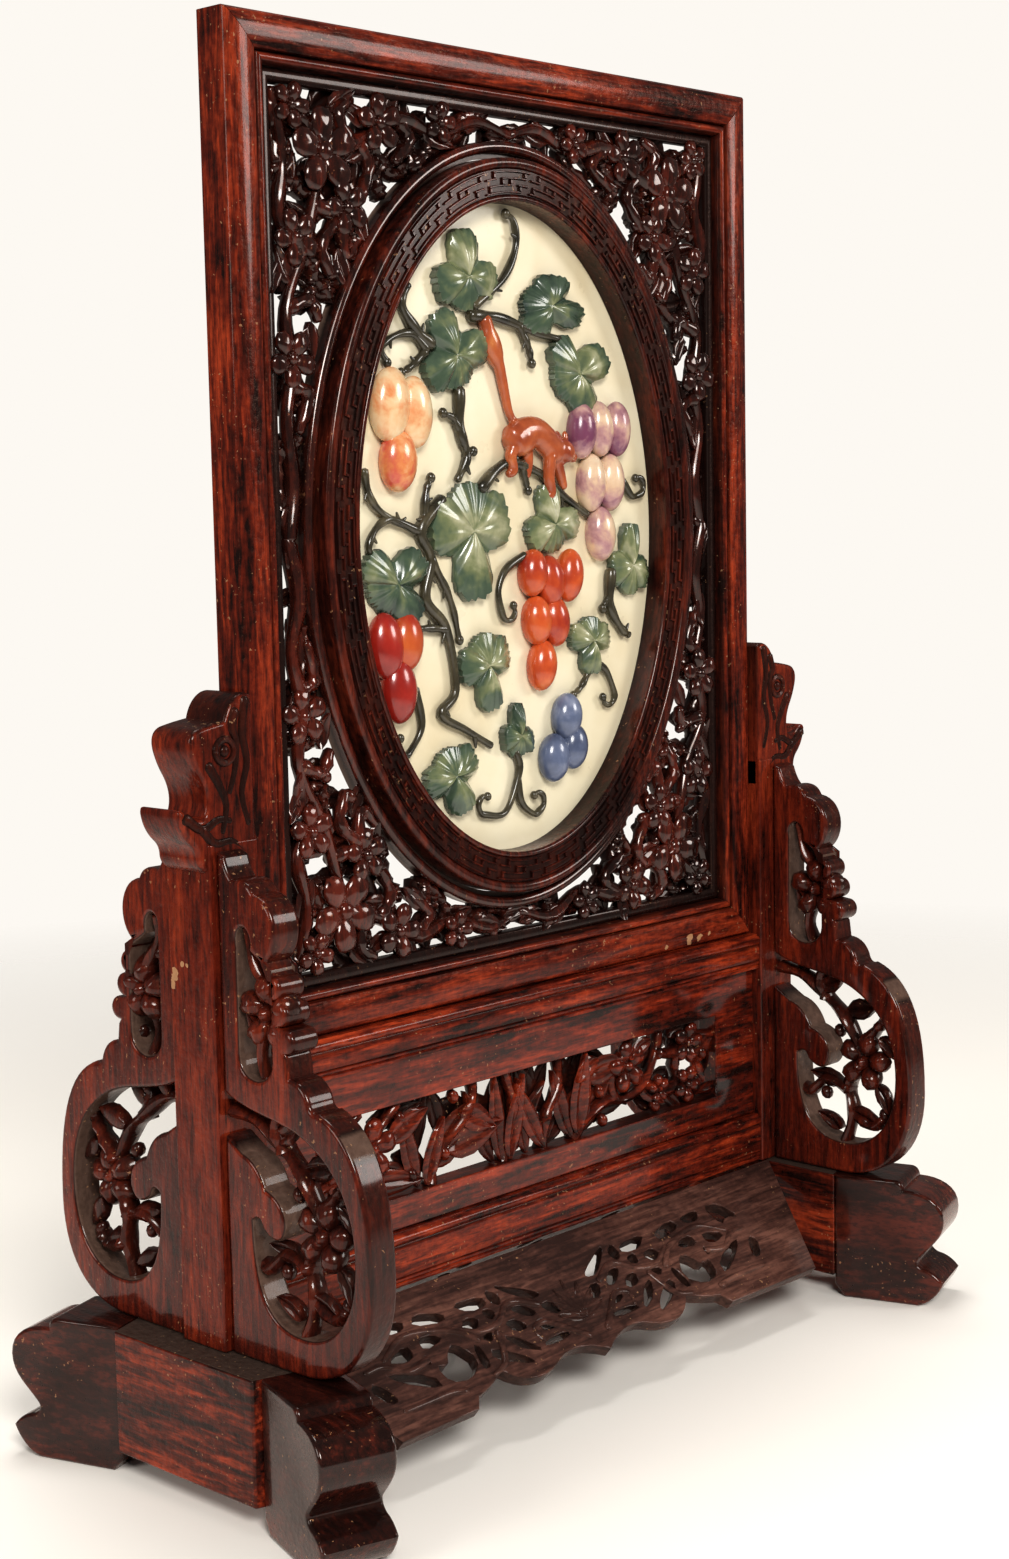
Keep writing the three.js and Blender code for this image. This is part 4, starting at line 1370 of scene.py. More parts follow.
@dataclass
class FretRing:
    """The raised oval frame of the stone with a key fret between two beads."""

    front: float = -9.0
    back: float = 8.0
    field: float = -8.0
    units: int = 29
    fret_start: float = 3.1
    fret_middle: float = 8.0
    inner_reach: float = 2.3
    wall_start: float = -7.0
    inner_wall_shade: float = 0.95
    outer_wall_shade: float = 0.9
    field_shade: float = 0.7

    KEYS = (
        (0.0, 0.8, 8.8, 9.7), (0.2, 1.0, 0.2, 1.1), (0.08, 0.62, 5.9, 6.8), (0.75, 0.97, 5.9, 6.8),
        (0.03, 0.26, 3.0, 3.9), (0.4, 0.92, 3.0, 3.9), (0.765, 0.8, 6.8, 8.8), (0.2, 0.235, 1.1, 3.0),
        (0.08, 0.115, 6.8, 8.8), (0.585, 0.62, 3.9, 5.9), (0.4, 0.435, 3.9, 5.9), (0.885, 0.92, 1.1, 3.0),
    )

    def even_turns(self, count: int) -> list[float]:
        """Divides the oval into even lengths.

        Args:
            count: how many.

        Returns:
            The angles where they start and end.
        """
        fine = np.linspace(0.0, 2 * math.pi, 1441)
        spots = np.array([oval_spot(turn, self.fret_middle, 0.0) for turn in fine])
        run = np.concatenate([[0.0], np.cumsum(np.linalg.norm(np.diff(spots, axis=0), axis=1))])
        return list(np.interp(np.linspace(0.0, run[-1], count + 1), run, fine))

    def keys(self) -> bpy.types.Object:
        """Raises the bars of the fret.

        Returns:
            All bars as one object.
        """
        carving = Carving(Matrix.Identity(4))
        turns = self.even_turns(self.units)
        for unit in range(self.units):
            first, span = turns[unit], turns[unit + 1] - turns[unit]
            for start, end, low, high in self.KEYS:
                steps = max(1, round((end - start) * 8))
                section = [(self.fret_start + offset, depth) for offset, depth in (
                    (low, self.field + 0.5), (low, self.front + 0.4), (low + 0.3, self.front),
                    (high - 0.3, self.front), (high, self.front + 0.4), (high, self.field + 0.5),
                )]
                rings = []
                for step in range(steps + 1):
                    turn = first + span * (start + (end - start) * step / steps)
                    rings.append(np.array([oval_spot(turn, *edge) for edge in section]))
                carving.rings(rings)
        item = carving.make("key_fret")
        # Painted shade in the sunk field between the fret's bars.
        Bench.painted_shade_and_dust(item, (Bench.points(item)[:, 1] - self.front) / 1.2)
        return item

    def build(self, looks: Materials) -> None:
        """Sweeps the ring and lays the fret on it.

        Args:
            looks: the finishes.
        """
        inner = arc((1.35, -7.5), (-1.35, -1.5), 0.0, math.pi, 8)
        outer = arc((15.9, -7.1), (-2.3, -1.9), 0.0, math.pi, 9)
        profile = [
            (0.0, 2.7), *inner, (2.9, self.field), (13.3, self.field), *outer, (18.2, self.back),
            (1.9, self.back), (1.9, 2.7),
        ]
        ring = oval_sweep("ring_moulding", profile)
        spots = Bench.points(ring)
        wide, tall = (half + self.inner_reach for half in STONE_HALF)
        inside = np.hypot(spots[:, 0] / wide, (spots[:, 2] - SCREEN_MID) / tall) < 1.01
        # Painted shade on the ring's inner and outer walls and in its sunk field.
        walls = np.where(inside, self.inner_wall_shade, self.outer_wall_shade) * (spots[:, 1] > self.wall_start)
        sunk = (np.abs(spots[:, 1] - self.field) < 0.05) * self.field_shade
        Bench.painted_shade_and_dust(ring, np.maximum(walls, sunk))
        item = Bench.join("fret_ring", [ring, self.keys()])
        Bench.hand_over(item, "fret_ring", "ring_wood", looks.woods["ring"], 40.0)


@dataclass
class StonePlaque:
    """The pale stone behind the vine."""

    grow: float = 1.6
    front: float = 3.0
    back: float = 7.0

    def build(self, looks: Materials) -> None:
        """Shapes a disc into the oval plaque.

        Args:
            looks: the finishes.
        """
        Bench.clear()
        middle = (0.0, (self.front + self.back) / 2 * MM, SCREEN_MID * MM)
        bpy.ops.mesh.primitive_cylinder_add(
            vertices=128, radius=MM, depth=(self.back - self.front) * MM, location=middle,
            rotation=(math.pi / 2, 0.0, 0.0),
        )
        item = bpy.context.object
        bpy.ops.object.transform_apply(location=False, rotation=True, scale=True)
        Bench.edit(item)
        scale = (STONE_HALF[0] + self.grow, 1.0, STONE_HALF[1] + self.grow)
        bpy.ops.transform.resize(value=scale)
        Bench.close()
        bpy.ops.object.transform_apply(location=True, rotation=True, scale=True)
        Bench.apply(item, "BEVEL", width=0.4 * MM, segments=2, limit_method="ANGLE", angle_limit=0.9)
        Bench.hand_over(item, "stone_plaque", "plaque_stone", looks.stones["plaque_stone"], 30.0)


@dataclass
class HardstoneVine:
    """Leaves, fruit, squirrel and stems of hardstone on the plaque."""

    back: float = 2.8
    rise: float = 2.4
    seed: int = 5
    spread: float = 1.75

    LEAVES = (
        (-25, 484, 20, 21, 1.65), (-33, 451, 21, 21, 2.0), (27, 474, 25, 15, -0.35), (45, 445, 23, 20, 0.5),
        (-25, 377, 26, 31, -1.5), (-71, 356, 23, 19, 0.7), (27, 379, 18, 19, 1.75), (80, 359, 14, 20, 1.5),
        (-17, 319, 17, 21, -1.4), (52, 326, 15, 16, -1.6), (2, 287, 10, 15, 1.5), (-39, 273, 18, 18.5, -1.2),
    )
    BUNCHES = {
        "fruit_peach": ((-72, 430, 10.5, 15.5, 0.0), (-58, 427, 9, 15, 0.05), (-68, 407, 9.5, 13, 0.42)),
        "fruit_purple": (
            (47, 420, 7.6, 12.5, -0.15), (59, 421, 7.2, 12.5, 0.2), (71, 421, 7.2, 12.5, -0.05),
            (53, 397, 7.8, 13, 0.22), (66, 397, 7.6, 13, 0.28), (59, 374, 8, 12.5, 0.2),
        ),
        "fruit_orange": (
            (13, 358, 7.6, 10.5, 0.0), (24, 354, 7.4, 11.5, -0.1), (37, 356, 7.2, 12, 0.05),
            (15, 337, 7.8, 11, 0.15), (27, 336, 7.6, 11.5, 0.0), (18, 317, 7.6, 11.5, 0.1),
        ),
        "fruit_red": ((-78, 331, 9, 14, -0.05), (-66, 332, 8.4, 12.5, 0.35), (-71, 312, 9.2, 14, -0.1)),
        "fruit_blue": ((34, 293, 8.2, 10.5, 0.1), (38, 279, 7.6, 10.5, -0.1), (25, 275, 8.4, 11, 0.05)),
    }
    VINES = {
        "vine_top": (
            ((-22, 468), (-6, 468), (16, 463), (34, 460)),
            ((-20, 472), (-2, 484), (7, 498), (6, 509), (1, 512)),
            ((8, 465), (14, 456), (16, 449)), ((18, 463), (23, 467)),
        ),
        "vine_left": (
            ((-46, 455), (-55, 461), (-63, 471), (-59, 479)),
            ((-49, 453), (-57, 459), (-67, 458), (-75, 453), (-72, 447)),
            ((-50, 452), (-58, 446), (-64, 443)),
        ),
        "vine_upper_stem": (
            ((-30, 437), (-30, 420), (-26, 409), (-32, 399)), ((-28, 414), (-33, 424), (-40, 427)),
            ((-27, 409), (-22, 411)),
        ),
        "vine_main": (
            ((-42, 391), (-55, 378), (-49, 366), (-53, 349), (-41, 336), (-36, 310), (-45, 300),
             (-30, 292), (-15, 284)),
            ((-49, 366), (-38, 348), (-33, 331)), ((-87, 403), (-83, 391), (-72, 383), (-57, 378)),
            ((-57, 378), (-72, 383), (-81, 379), (-85, 371), (-79, 367)),
            ((-53, 380), (-51, 394), (-48, 400)),
            ((-41, 336), (-54, 337), (-62, 336)),
        ),
        "vine_branch": (
            ((-18, 395), (-8, 403), (2, 406), (21, 401), (34, 392), (51, 383)), ((4, 406), (5, 412)),
            ((9, 404), (12, 394)),
        ),
        "vine_right": (((67, 357), (66, 341), (74, 330), (79, 327)), ((66, 346), (61, 340))),
        "tendril_right": (((76, 398), (82, 391), (87, 391)),),
        "tendril_orange": (((9, 366), (-3, 360), (-8, 351), (-6, 341)),),
        "tendril_blue": (((56, 316), (63, 311), (68, 302)), ((52, 314), (46, 306), (40, 302))),
        "tendril_foot": (((1, 280), (3, 271), (-6, 254), (-19, 254)),
            ((2, 268), (4, 257), (12, 251), (16, 252))),
        "tendril_left": (((-60, 312), (-57, 296), (-64, 286)),),
    }
    FRUIT_STALK = ("tendril_blue", 1)

    def leaf(self, node: str, spec: Sequence[float], chance: random.Random) -> bpy.types.Object:
        """Carves one scalloped vine leaf with three cupped lobes.

        Args:
            node: the leaf's name.
            spec: place, half width, half height and turn.
            chance: its own small differences.

        Returns:
            The leaf.
        """
        x, z, wide, tall, turn = spec
        rings, around, points = 11, 132, 33
        turns = np.linspace(-math.pi, math.pi, around, endpoint=False)
        axes = (0.0, -self.spread, self.spread)
        base = math.pi - 0.4
        sizes = ((0.0, 1.0), (-self.spread, 0.95), (self.spread, 0.95), (base, 0.42), (-base, 0.42))
        lobes = np.max([size * np.exp(-(((turns - axis) / 0.66) ** 4)) for axis, size in sizes], axis=0)
        teeth = (turns * points / (2 * math.pi)) % 1.0
        edge = 0.47 + 0.44 * lobes + 0.07 * teeth * lobes**0.5
        curl = 0.8 * np.sin(turns * 2 + chance.uniform(0, 6))
        curl = curl + 0.5 * np.sin(turns * 3 + chance.uniform(0, 6))
        veins = 0.7 * sum(bell(turns, axis, 0.1) for axis in axes)
        folds = np.sin(turns * 13 + chance.uniform(0, 6))
        shells, tints_with_painted_light = [], []
        shade = chance.uniform(-0.35, 0.35)
        for ring in range(rings + 1):
            share = 1.0 - ring / (rings + 0.5)
            lift = 4.0 + 1.2 * (1 - share**2) + curl * share**2
            lift = lift + 1.9 * lobes * math.sin(math.pi * share**0.8)
            lift = lift - 1.1 * veins * share**0.4 * (1 - share) - 1.6 * (1 - lobes) * share**0.6
            lift = lift + 0.14 * folds * share**1.5
            reach = edge * share
            spots = np.stack([
                x + wide * reach * np.cos(turns + turn), z + tall * reach * np.sin(turns + turn), lift,
            ], 1)
            if ring == 0:
                for drop in (5.2, 1.3):
                    lower = spots.copy()
                    lower[:, 2] = np.maximum(lower[:, 2] - drop, 0.1)
                    shells.append(lower)
                    # Painted shade on the leaf's side walls where it drops to the stone.
                    tints_with_painted_light.append(np.full(around, shade - 0.7))
            shells.append(spots)
            # Paler towards the middle: the leaf's own olive centre and a painted highlight; paler too along
            # the raised folds.
            ribs = 0.2 * np.clip(folds, -0.3, 1.0) * share * (1 - share) * 3
            tints_with_painted_light.append(shade + 0.9 * (1 - share) * lobes - 0.45 + ribs)
        carving = Carving(upright_plane(self.back))
        carving.rings(shells, np.concatenate(tints_with_painted_light))
        return carving.make(node, low=-2.0, high=2.2)

    def fruit(
        self, node: str, berries: Sequence[Sequence[float]], chance: random.Random
    ) -> bpy.types.Object:
        """Carves one bunch of smooth egg-shaped berries.

        Args:
            node: the bunch's name.
            berries: place, half width, half height and tint of each.
            chance: how they lean.

        Returns:
            The bunch.
        """
        carving = Carving(upright_plane(self.back))
        for x, z, wide, tall, tint in berries:
            lean = chance.uniform(-0.12, 0.12)
            carving.bead(x, z, 3.4, (wide, tall, 6.6), lean, tint, fine=16)
        item = carving.make(node, low=-4.0, high=-1.0)
        spots = Bench.points(item)
        blush = 0.12 * np.sin(spots[:, 2] * 0.27 + spots[:, 0] * 0.1)
        Bench.store(item, "tint", Bench.stored(item, "tint") + blush)
        return item

    def squirrel(self) -> bpy.types.Object:
        """Models the squirrel from rounded masses and melts them into one form.

        Returns:
            The squirrel.
        """
        carving = Carving(upright_plane(self.back))
        tail = (
            (-14, 467, 2.6), (-11, 459, 3.4), (-6, 448, 3.2), (-2, 436, 2.6), (1, 427, 2.6), (6, 421, 3.2),
        )
        carving.tube(tail, 3.4, 1.6, sides=12, steps=6)
        carving.bead(-10, 456, 3.0, (5.0, 11.0, 4.0), 0.42, fine=12)
        trunk = ((2, 415, 3.4), (8, 418.5, 3.8), (16, 419, 4), (24, 414.5, 4), (30, 410.5, 4))
        carving.tube(trunk, 7.8, 6.2, sides=16, steps=6, flat=0.72)
        haunch = (7, 417, 3.8, (9.0, 8.0, 5.6), 0.3, 14)
        skull = (33.5, 411, 4.8, (6.2, 5.2, 4.6), -0.4, 12)
        snout = (39, 408.5, 4.4, (3.2, 2.6, 2.8), -0.4, 10)
        ears = ((30, 417.5, 4.6, (1.8, 3.0, 1.6), 0.5, 8), (35, 417.5, 4.2, (1.8, 2.8, 1.6), 0.1, 8))
        for *mass, fine in (haunch, skull, snout, *ears):
            carving.bead(*mass, fine=fine)
        limbs = (
            ((3, 415, 4.6), (-1, 409, 4.6), (1, 403, 4.2), (-2, 401, 4)),
            ((11, 414, 2.6), (12, 406, 2.6), (11, 400, 2.6)),
            ((24, 409, 5), (23, 400, 5), (25, 393, 4.6), (23, 391, 4.4)),
            ((30, 407, 3), (33, 400, 3), (35, 395, 3)),
        )
        for knots in limbs:
            carving.tube(knots, 3.2, 2.0, sides=10)
        item = carving.make("squirrel", low=-6.0, high=-2.0)
        Bench.apply(item, "REMESH", mode="VOXEL", voxel_size=0.65 * MM)
        Bench.apply(item, "SMOOTH", iterations=9, factor=0.5)
        return item

    @staticmethod
    def curl(last: Sequence[Point3], radius: float = 4.6) -> list[Point3]:
        """The rolled end of a tendril that goes on the way it already bends.

        Args:
            last: the tendril's last three points.
            radius: radius at the start of the roll.

        Returns:
            The points of the roll.
        """
        flat = [np.array(spot[:2]) for spot in last]
        before, ahead = (flat[i + 1] - flat[i] for i in (-3, -2))
        way = 1.0 if before[0] * ahead[1] - before[1] * ahead[0] > 0 else -1.0
        start = math.atan2(ahead[1], ahead[0]) - way * math.pi / 2
        centre = flat[-1] - radius * np.array([math.cos(start), math.sin(start)])
        roll = []
        for step in range(1, 5):
            turn, reach = start + way * step * 0.9, radius * (1.0 - 0.05 * step)
            x, z = centre[0] + reach * math.cos(turn), centre[1] + reach * math.sin(turn)
            roll.append((x, z, last[-1][2]))
        return roll

    def stems(self, node: str, runs: Sequence[Sequence[Point2]]) -> bpy.types.Object:
        """Carves one vine with the thorned stems or rolled tendrils that spring from it.

        Args:
            node: the vine's name.
            runs: the knots of each stem.

        Returns:
            The vine.
        """
        carving = Carving(upright_plane(self.back))
        thin = node.startswith("tendril")
        for index, knots in enumerate(runs):
            stout = 1.75 if thin else 2.0 if index else 2.7
            spots = [(x, z, self.rise) for x, z in knots]
            if thin and (node, index) != self.FRUIT_STALK:
                spots += self.curl(spots[-3:])
            carving.tube(spots, stout, stout * 0.66, sides=10, steps=7, knobbly=0.13)
            if thin or index:
                carving.bead(*spots[-1], (stout * 1.05, stout * 1.15, stout), 0.3)
            if thin:
                continue
            line = smooth_path(spots, 3)
            for rank in range(2, len(line) - 2, 5):
                way = (line[rank + 1] - line[rank])[:2]
                out = np.array([-way[1], way[0]]) / (np.linalg.norm(way) + SMALL) * (1 if rank % 2 else -1)
                foot, tip = line[rank][:2], line[rank][:2] + out * stout * 1.7 + way * 0.5
                carving.tube(((*foot, self.rise), (*tip, self.rise + 0.5)), stout * 0.62, 0.5, steps=3)
        return carving.make(node, low=-4.0, high=0.4)

    def build(self, looks: Materials) -> None:
        """Carves every piece of the picture.

        Args:
            looks: the finishes.
        """
        chance = random.Random(self.seed)
        for index, spec in enumerate(self.LEAVES, 1):
            item = self.leaf(f"leaf_{index}", spec, chance)
            Bench.hand_over(item, f"leaf_{index}", "leaf_stone", looks.stones["leaf_stone"], 60.0)
        for node, berries in self.BUNCHES.items():
            slot = node.replace("fruit_", "") + "_stone"
            Bench.hand_over(self.fruit(node, berries, chance), node, slot, looks.stones[slot], 70.0)
        for node, runs in self.VINES.items():
            Bench.hand_over(self.stems(node, runs), node, "vine_stone", looks.stones["vine_stone"], 60.0)
        Bench.hand_over(self.squirrel(), "squirrel", "squirrel_stone", looks.stones["squirrel_stone"], 70.0)


@dataclass
class Feet:
    """On each side a middle bar and two splayed toes."""

    inner: float = 165.0
    outer: float = 198.0
    height: float = 61.0
    arch: float = 10.0
    seam: float = 53.2
    toe_width: float = 31.4
    splay: float = math.radians(18.2)
    joint: float = 0.3
    dust: float = 1.3
    neck: float = 21.0

    def bar(self, side: int) -> bpy.types.Object:
        """Makes the bar between the toes, dusty on top.

        Args:
            side: left or right as a sign.

        Returns:
            The bar.
        """
        near = self.seam - self.joint / 2
        far = near - math.tan(self.splay) * (self.outer - self.inner)
        plan = level_plan(side, (self.inner, near), (self.outer, far), self.arch)
        item = Bench.bar("foot_bar", plan, (0.0, 0.0, self.height - self.arch), 1.0)
        Bench.painted_shade_and_dust(item, self.dust * (Bench.points(item)[:, 2] > self.height - 0.4))
        return item

    def toe(self, side: int, end: int) -> bpy.types.Object:
        """Makes a toe with a rolled brow, a hollow neck and a flared lip.

        Args:
            side: left or right as a sign.
            end: front or back as a sign.

        Returns:
            The toe.
        """
        shape = Outline(self.joint / 2, 6).line(5, 0).line(41, 0).curve((47, 1), (52, 7), (54, 12.5))
        shape.curve((50, 17.6), (44, 18.6)).curve((39, 21), (42, 24)).curve((47, 30), (54, 34), (54, 43))
        shape.curve((54, 53), (44, 56.6), (34.8, 56.6)).curve((34, self.height), (30, self.height))
        shape.line(self.joint / 2, self.height)
        turn = Matrix.Rotation(-side * end * self.splay, 4, "Z")
        place = Matrix.Translation((side * self.inner, end * self.seam, 0.0)) @ turn
        place = place @ side_plane(side * self.toe_width / 2, 0.0, end)
        item = Bench.plate("toe", [shape.points], self.toe_width / 2, 1.6, place, steps=3)
        height = Bench.points(item)[:, 2]
        # Painted shade in the hollow neck; darker on the top face.
        Bench.painted_shade_and_dust(item, 0.55 * bell(height, self.neck, 7.0) + 0.4 * (height > 59.0))
        return item

    def build(self, looks: Materials) -> None:
        """Shapes both feet.

        Args:
            looks: the finishes.
        """
        for label, side in SIDES:
            bar_look, toe_look = looks.woods["stand_deep"], looks.woods["toe"]
            Bench.hand_over(self.bar(side), f"foot_bar_{label}", "stand_wood", bar_look, 35.0)
            for name, end in ENDS:
                Bench.hand_over(self.toe(side, end), f"toe_{label}_{name}", "toe_wood", toe_look, 50.0)


@dataclass
class Posts:
    """Posts topped by a beast's head that looks outwards."""

    inner: float = 161.0
    outer: float = 186.0
    half_depth: float = 13.0
    foot: float = 61.3
    shoulder: float = 262.0
    head_half: float = 12.4
    crown: float = 302.0
    crown_rise: float = 5.0
    eye: Point2 = (176.0, 297.0)
    eye_ring: float = 4.6

    FLOWS = (
        ((165, 316), (167, 304), (165, 292), (168, 280), (165, 268)),
        ((184, 292), (179, 284), (176, 276), (178, 266)),
        ((170, 312), (172, 306), (170, 300), (171, 290), (174, 281)),
        ((188, 268), (182, 262), (174, 262), (168, 258)),
        ((196, 273), (188, 268), (180, 271), (174, 270)),
    )

    def shaft(self, side: int) -> bpy.types.Object:
        """Makes the square post.

        Args:
            side: left or right as a sign.

        Returns:
            The post without its head.
        """
        depth = self.half_depth
        plan = level_plan(side, (self.inner, depth), (self.outer, depth), self.foot)
        return Bench.bar("shaft", plan, (0.0, 0.0, self.shoulder - self.foot), 1.0)

    def head(self, side: int) -> bpy.types.Object:
        """Saws the beast's head: brow, snout, open mouth and curled jaw.

        Args:
            side: left or right as a sign.

        Returns:
            The head, dark on its crown.
        """
        shape = Outline(self.inner, 250, 12).line(self.inner, 317).curve((163, 319.4), (167, 318.4))
        shape.curve((173, 316), (175, 308.6)).curve((183, 307.6), (188, 306.4))
        shape.curve((193.5, 304.6), (192, 297.6))
        shape.curve((190.5, 292), (187.4, 287)).curve((183, 279), (186, 272.6))
        shape.curve((191, 270.6), (195.6, 275.2))
        shape.curve((199, 278), (199, 273.8)).curve((198, 267), (193, 262.4))
        shape.curve((190.4, 260), (190.4, 256.6))
        shape.curve((190, 252.6), (186, 251)).line(180, 250)
        item = Bench.plate("head", [shape.mirrored(side)], self.head_half, 2.0, upright_plane(0.0), steps=3)
        spots = Bench.points(item)
        rise = np.clip((spots[:, 2] - self.crown) / self.crown_rise, 0.0, 1.0)
        Bench.painted_shade_and_dust(item, 0.85 * rise * (np.abs(spots[:, 1]) < self.head_half - 0.3))
        return item

    def features(self, side: int) -> bpy.types.Object:
        """Carves eye, mouth and flowing ridges on both faces of the head.

        Args:
            side: left or right as a sign.

        Returns:
            The carving of both faces.
        """
        parts = []
        out = self.head_half - 0.2
        x, z = self.eye
        for turn, flip in ((0.0, side), (math.pi, -side)):
            carving = Carving(Matrix.Rotation(turn, 4, "Z") @ upright_plane(0.0))
            ring = arc(self.eye, (self.eye_ring, self.eye_ring), 0.0, 6.284, 13)
            carving.tube([(flip * s, v, out) for s, v in ring], 1.5, 1.5, steps=2)
            carving.bead(flip * x, z, out, (2.4, 2.4, 1.6))
            for knots in self.FLOWS:
                carving.tube([(flip * s, v, out) for s, v in knots], 2.3, 1.3, flat=0.6)
            # Painted shade on the low parts makes the raised lines read as incised grooves.
            parts.append(carving.make("features", self.head_half + 0.6, self.head_half + 2.6))
        return Bench.join("features", parts)

    def build(self, looks: Materials) -> None:
        """Shapes both posts.

        Args:
            looks: the finishes.
        """
        for label, side in SIDES:
            head = self.head(side)
            item = Bench.join("post", [self.shaft(side), head, self.features(side)])
            Bench.hand_over(item, f"post_{label}", "stand_wood", looks.woods["stand_upright"])


@dataclass
class Brackets:
    """Pierced scroll brackets before and behind each post."""

    inner: float = 169.5
    outer: float = 183.5
    reach: float = 80.7
    base: float = 61.3
    start: float = 13.3
    joint: float = 0.9
    dust: float = 1.55

    STEMS = (
        ((14, 230), (17, 218), (22, 208), (22, 196), (19, 182), (21, 170)),
        ((2, 158), (16, 155), (28, 146), (40, 138), (48, 124), (50, 116)),
        ((50, 116), (41, 104), (44, 90), (40, 74)), ((42, 102), (28, 105), (20, 98), (14, 100)),
        ((48, 124), (58, 134), (64, 140)), ((44, 90), (56, 86), (62, 90)), ((28, 146), (26, 156), (32, 162)),
    )
    LEAVES = (
        (26, 150, 17, 8, 0.5), (40, 140, 19, 9, 0.25), (60, 130, 14, 8, -0.7), (44, 92, 19, 9, -0.35),
        (36, 104, 17, 8, 2.9),
        (18, 186, 13, 6, 1.9), (58, 106, 15, 8, -1.0), (12, 157, 14, 7, 0.9), (38, 82, 14, 7, 2.6),
    )
    BLOSSOMS = ((24, 199, 14.5, 0.35, 15.4), (51, 117, 14.0, 0.1, 12.4))
    BUDS = ((28, 98), (62, 92), (36, 130), (30, 180), (16, 214), (64, 140), (24, 164))

    def outline(self) -> list[Point2]:
        """Draws the stepped and scrolled edge, its lower opening open to the post.

        Returns:
            Points as distance from the post and height.
        """
        edge = Outline(self.joint, self.base, 14).line(40, self.base)
        edge.curve((66, self.base), (self.reach, 78), (self.reach, 104))
        edge.curve((self.reach, 144), (70, 160), (54, 165.5)).curve((50, 164), (49, 169))
        edge.curve((46, 176), (38.5, 176.5))
        edge.line(37.5, 184)
        for s, z in ((36.5, 190), (32.5, 200), (29.5, 209.6)):
            edge.line(s, z - 4.8).curve((s + 7, z - 5), (s + 7, z + 5), (s, z + 4.8))
        edge.line(27, 219).curve((36, 226), (34, 243), (21, 244.5)).curve((18, 251), (9, 249))
        edge.curve((6, 252), (4.5, 257.5))
        edge.line(self.joint, 259).line(self.joint, 165.5).curve((14, 158), (36, 160), (49, 152))
        edge.curve((64, 144), (71.5, 130), (71.5, 112))
        edge.curve((71.5, 86), (56, 76), (41, 76.5)).curve((24, 77), (15, 88), (15, 117))
        edge.curve((19, 121), (21, 115))
        edge.curve((31, 107), (34, 118)).curve((34, 128), (23, 131)).curve((19, 141), (10, 143))
        edge.line(self.joint, 148.5)
        return edge.points

    def opening(self) -> list[Point2]:
        """Draws the upper opening.

        Returns:
            Points as distance from the post and height.
        """
        upper = Outline(10.5, 222, 14).line(10.5, 182).curve((10.5, 170), (28, 170), (29, 181)).line(29, 216)
        upper.line(18, 222.5).curve((20, 234), (8, 234), (10.7, 222.5))
        return upper.points

    def bracket(self, side: int, end: int) -> bpy.types.Object:
        """Saws and carves one bracket, with painted shade on its edges and infill and dust on its sawn inner
        walls.

        Args:
            side: left or right as a sign.
            end: front or back as a sign.

        Returns:
            The bracket with its infill.
        """
        place = side_plane(side * (self.inner + self.outer) / 2, end * self.start, end)
        half = (self.outer - self.inner) / 2
        outline, opening = self.outline(), self.opening()
        plate = Bench.plate("bracket_plate", [outline, opening], half, 1.8, place, steps=3)
        # Painted shade on the plate's cut edges.
        Bench.edge_shade(plate, (1.0, 0.0, 0.0), 0.72)
        spots = Bench.points(plate)
        drawn = np.stack([np.abs(spots[:, 1]) - self.start, spots[:, 2]], 1)
        sawn = np.array(opening + [spot for spot in outline if 9 < spot[0] < 72.5 and 76 < spot[1] < 160])
        near = np.array([np.min(np.hypot(*(sawn - spot).T)) < 0.4 for spot in drawn])
        Bench.painted_shade_and_dust(plate, np.where(near, self.dust, Bench.stored(plate, "painted_shade_and_dust")))
        carving = Carving(place)
        carving.foliage(self.STEMS, (1.6, 2.1), (3.0, 2.4), 1.7, 0.12)
        for index, (s, z, length, width, turn) in enumerate(self.LEAVES):
            out = 1.5 * math.cos(index * 2.4)
            carving.leaf(s, z, out, length, width * 1.15, turn, thick=6.5, curl=1.4, teeth=0.05)
        for s, z, radius, turn, thick in self.BLOSSOMS:
            carving.blossom(s, z, 0.0, radius, turn, thick)
        for s, z in self.BUDS:
            carving.bead(s, z, 0.0, (2.8, 3.4, 3.4), 0.4, fine=6)
        infill = carving.make("bracket_infill")
        # Painted shade on the infill, darkest near the plate's middle plane.
        Bench.painted_shade_and_dust(infill, np.clip(1.0 - np.abs(np.vstack(carving.spots)[:, 2]) / 9.0, 0.3, 0.9))
        return Bench.join("bracket", [plate, infill])

    def build(self, looks: Materials) -> None:
        """Makes the four brackets.

        Args:
            looks: the finishes.
        """
        look = looks.woods["bracket"]
        for label, side in SIDES:
            for name, end in ENDS:
                item = self.bracket(side, end)
                Bench.hand_over(item, f"bracket_{label}_{name}", "bracket_wood", look, 58.0)


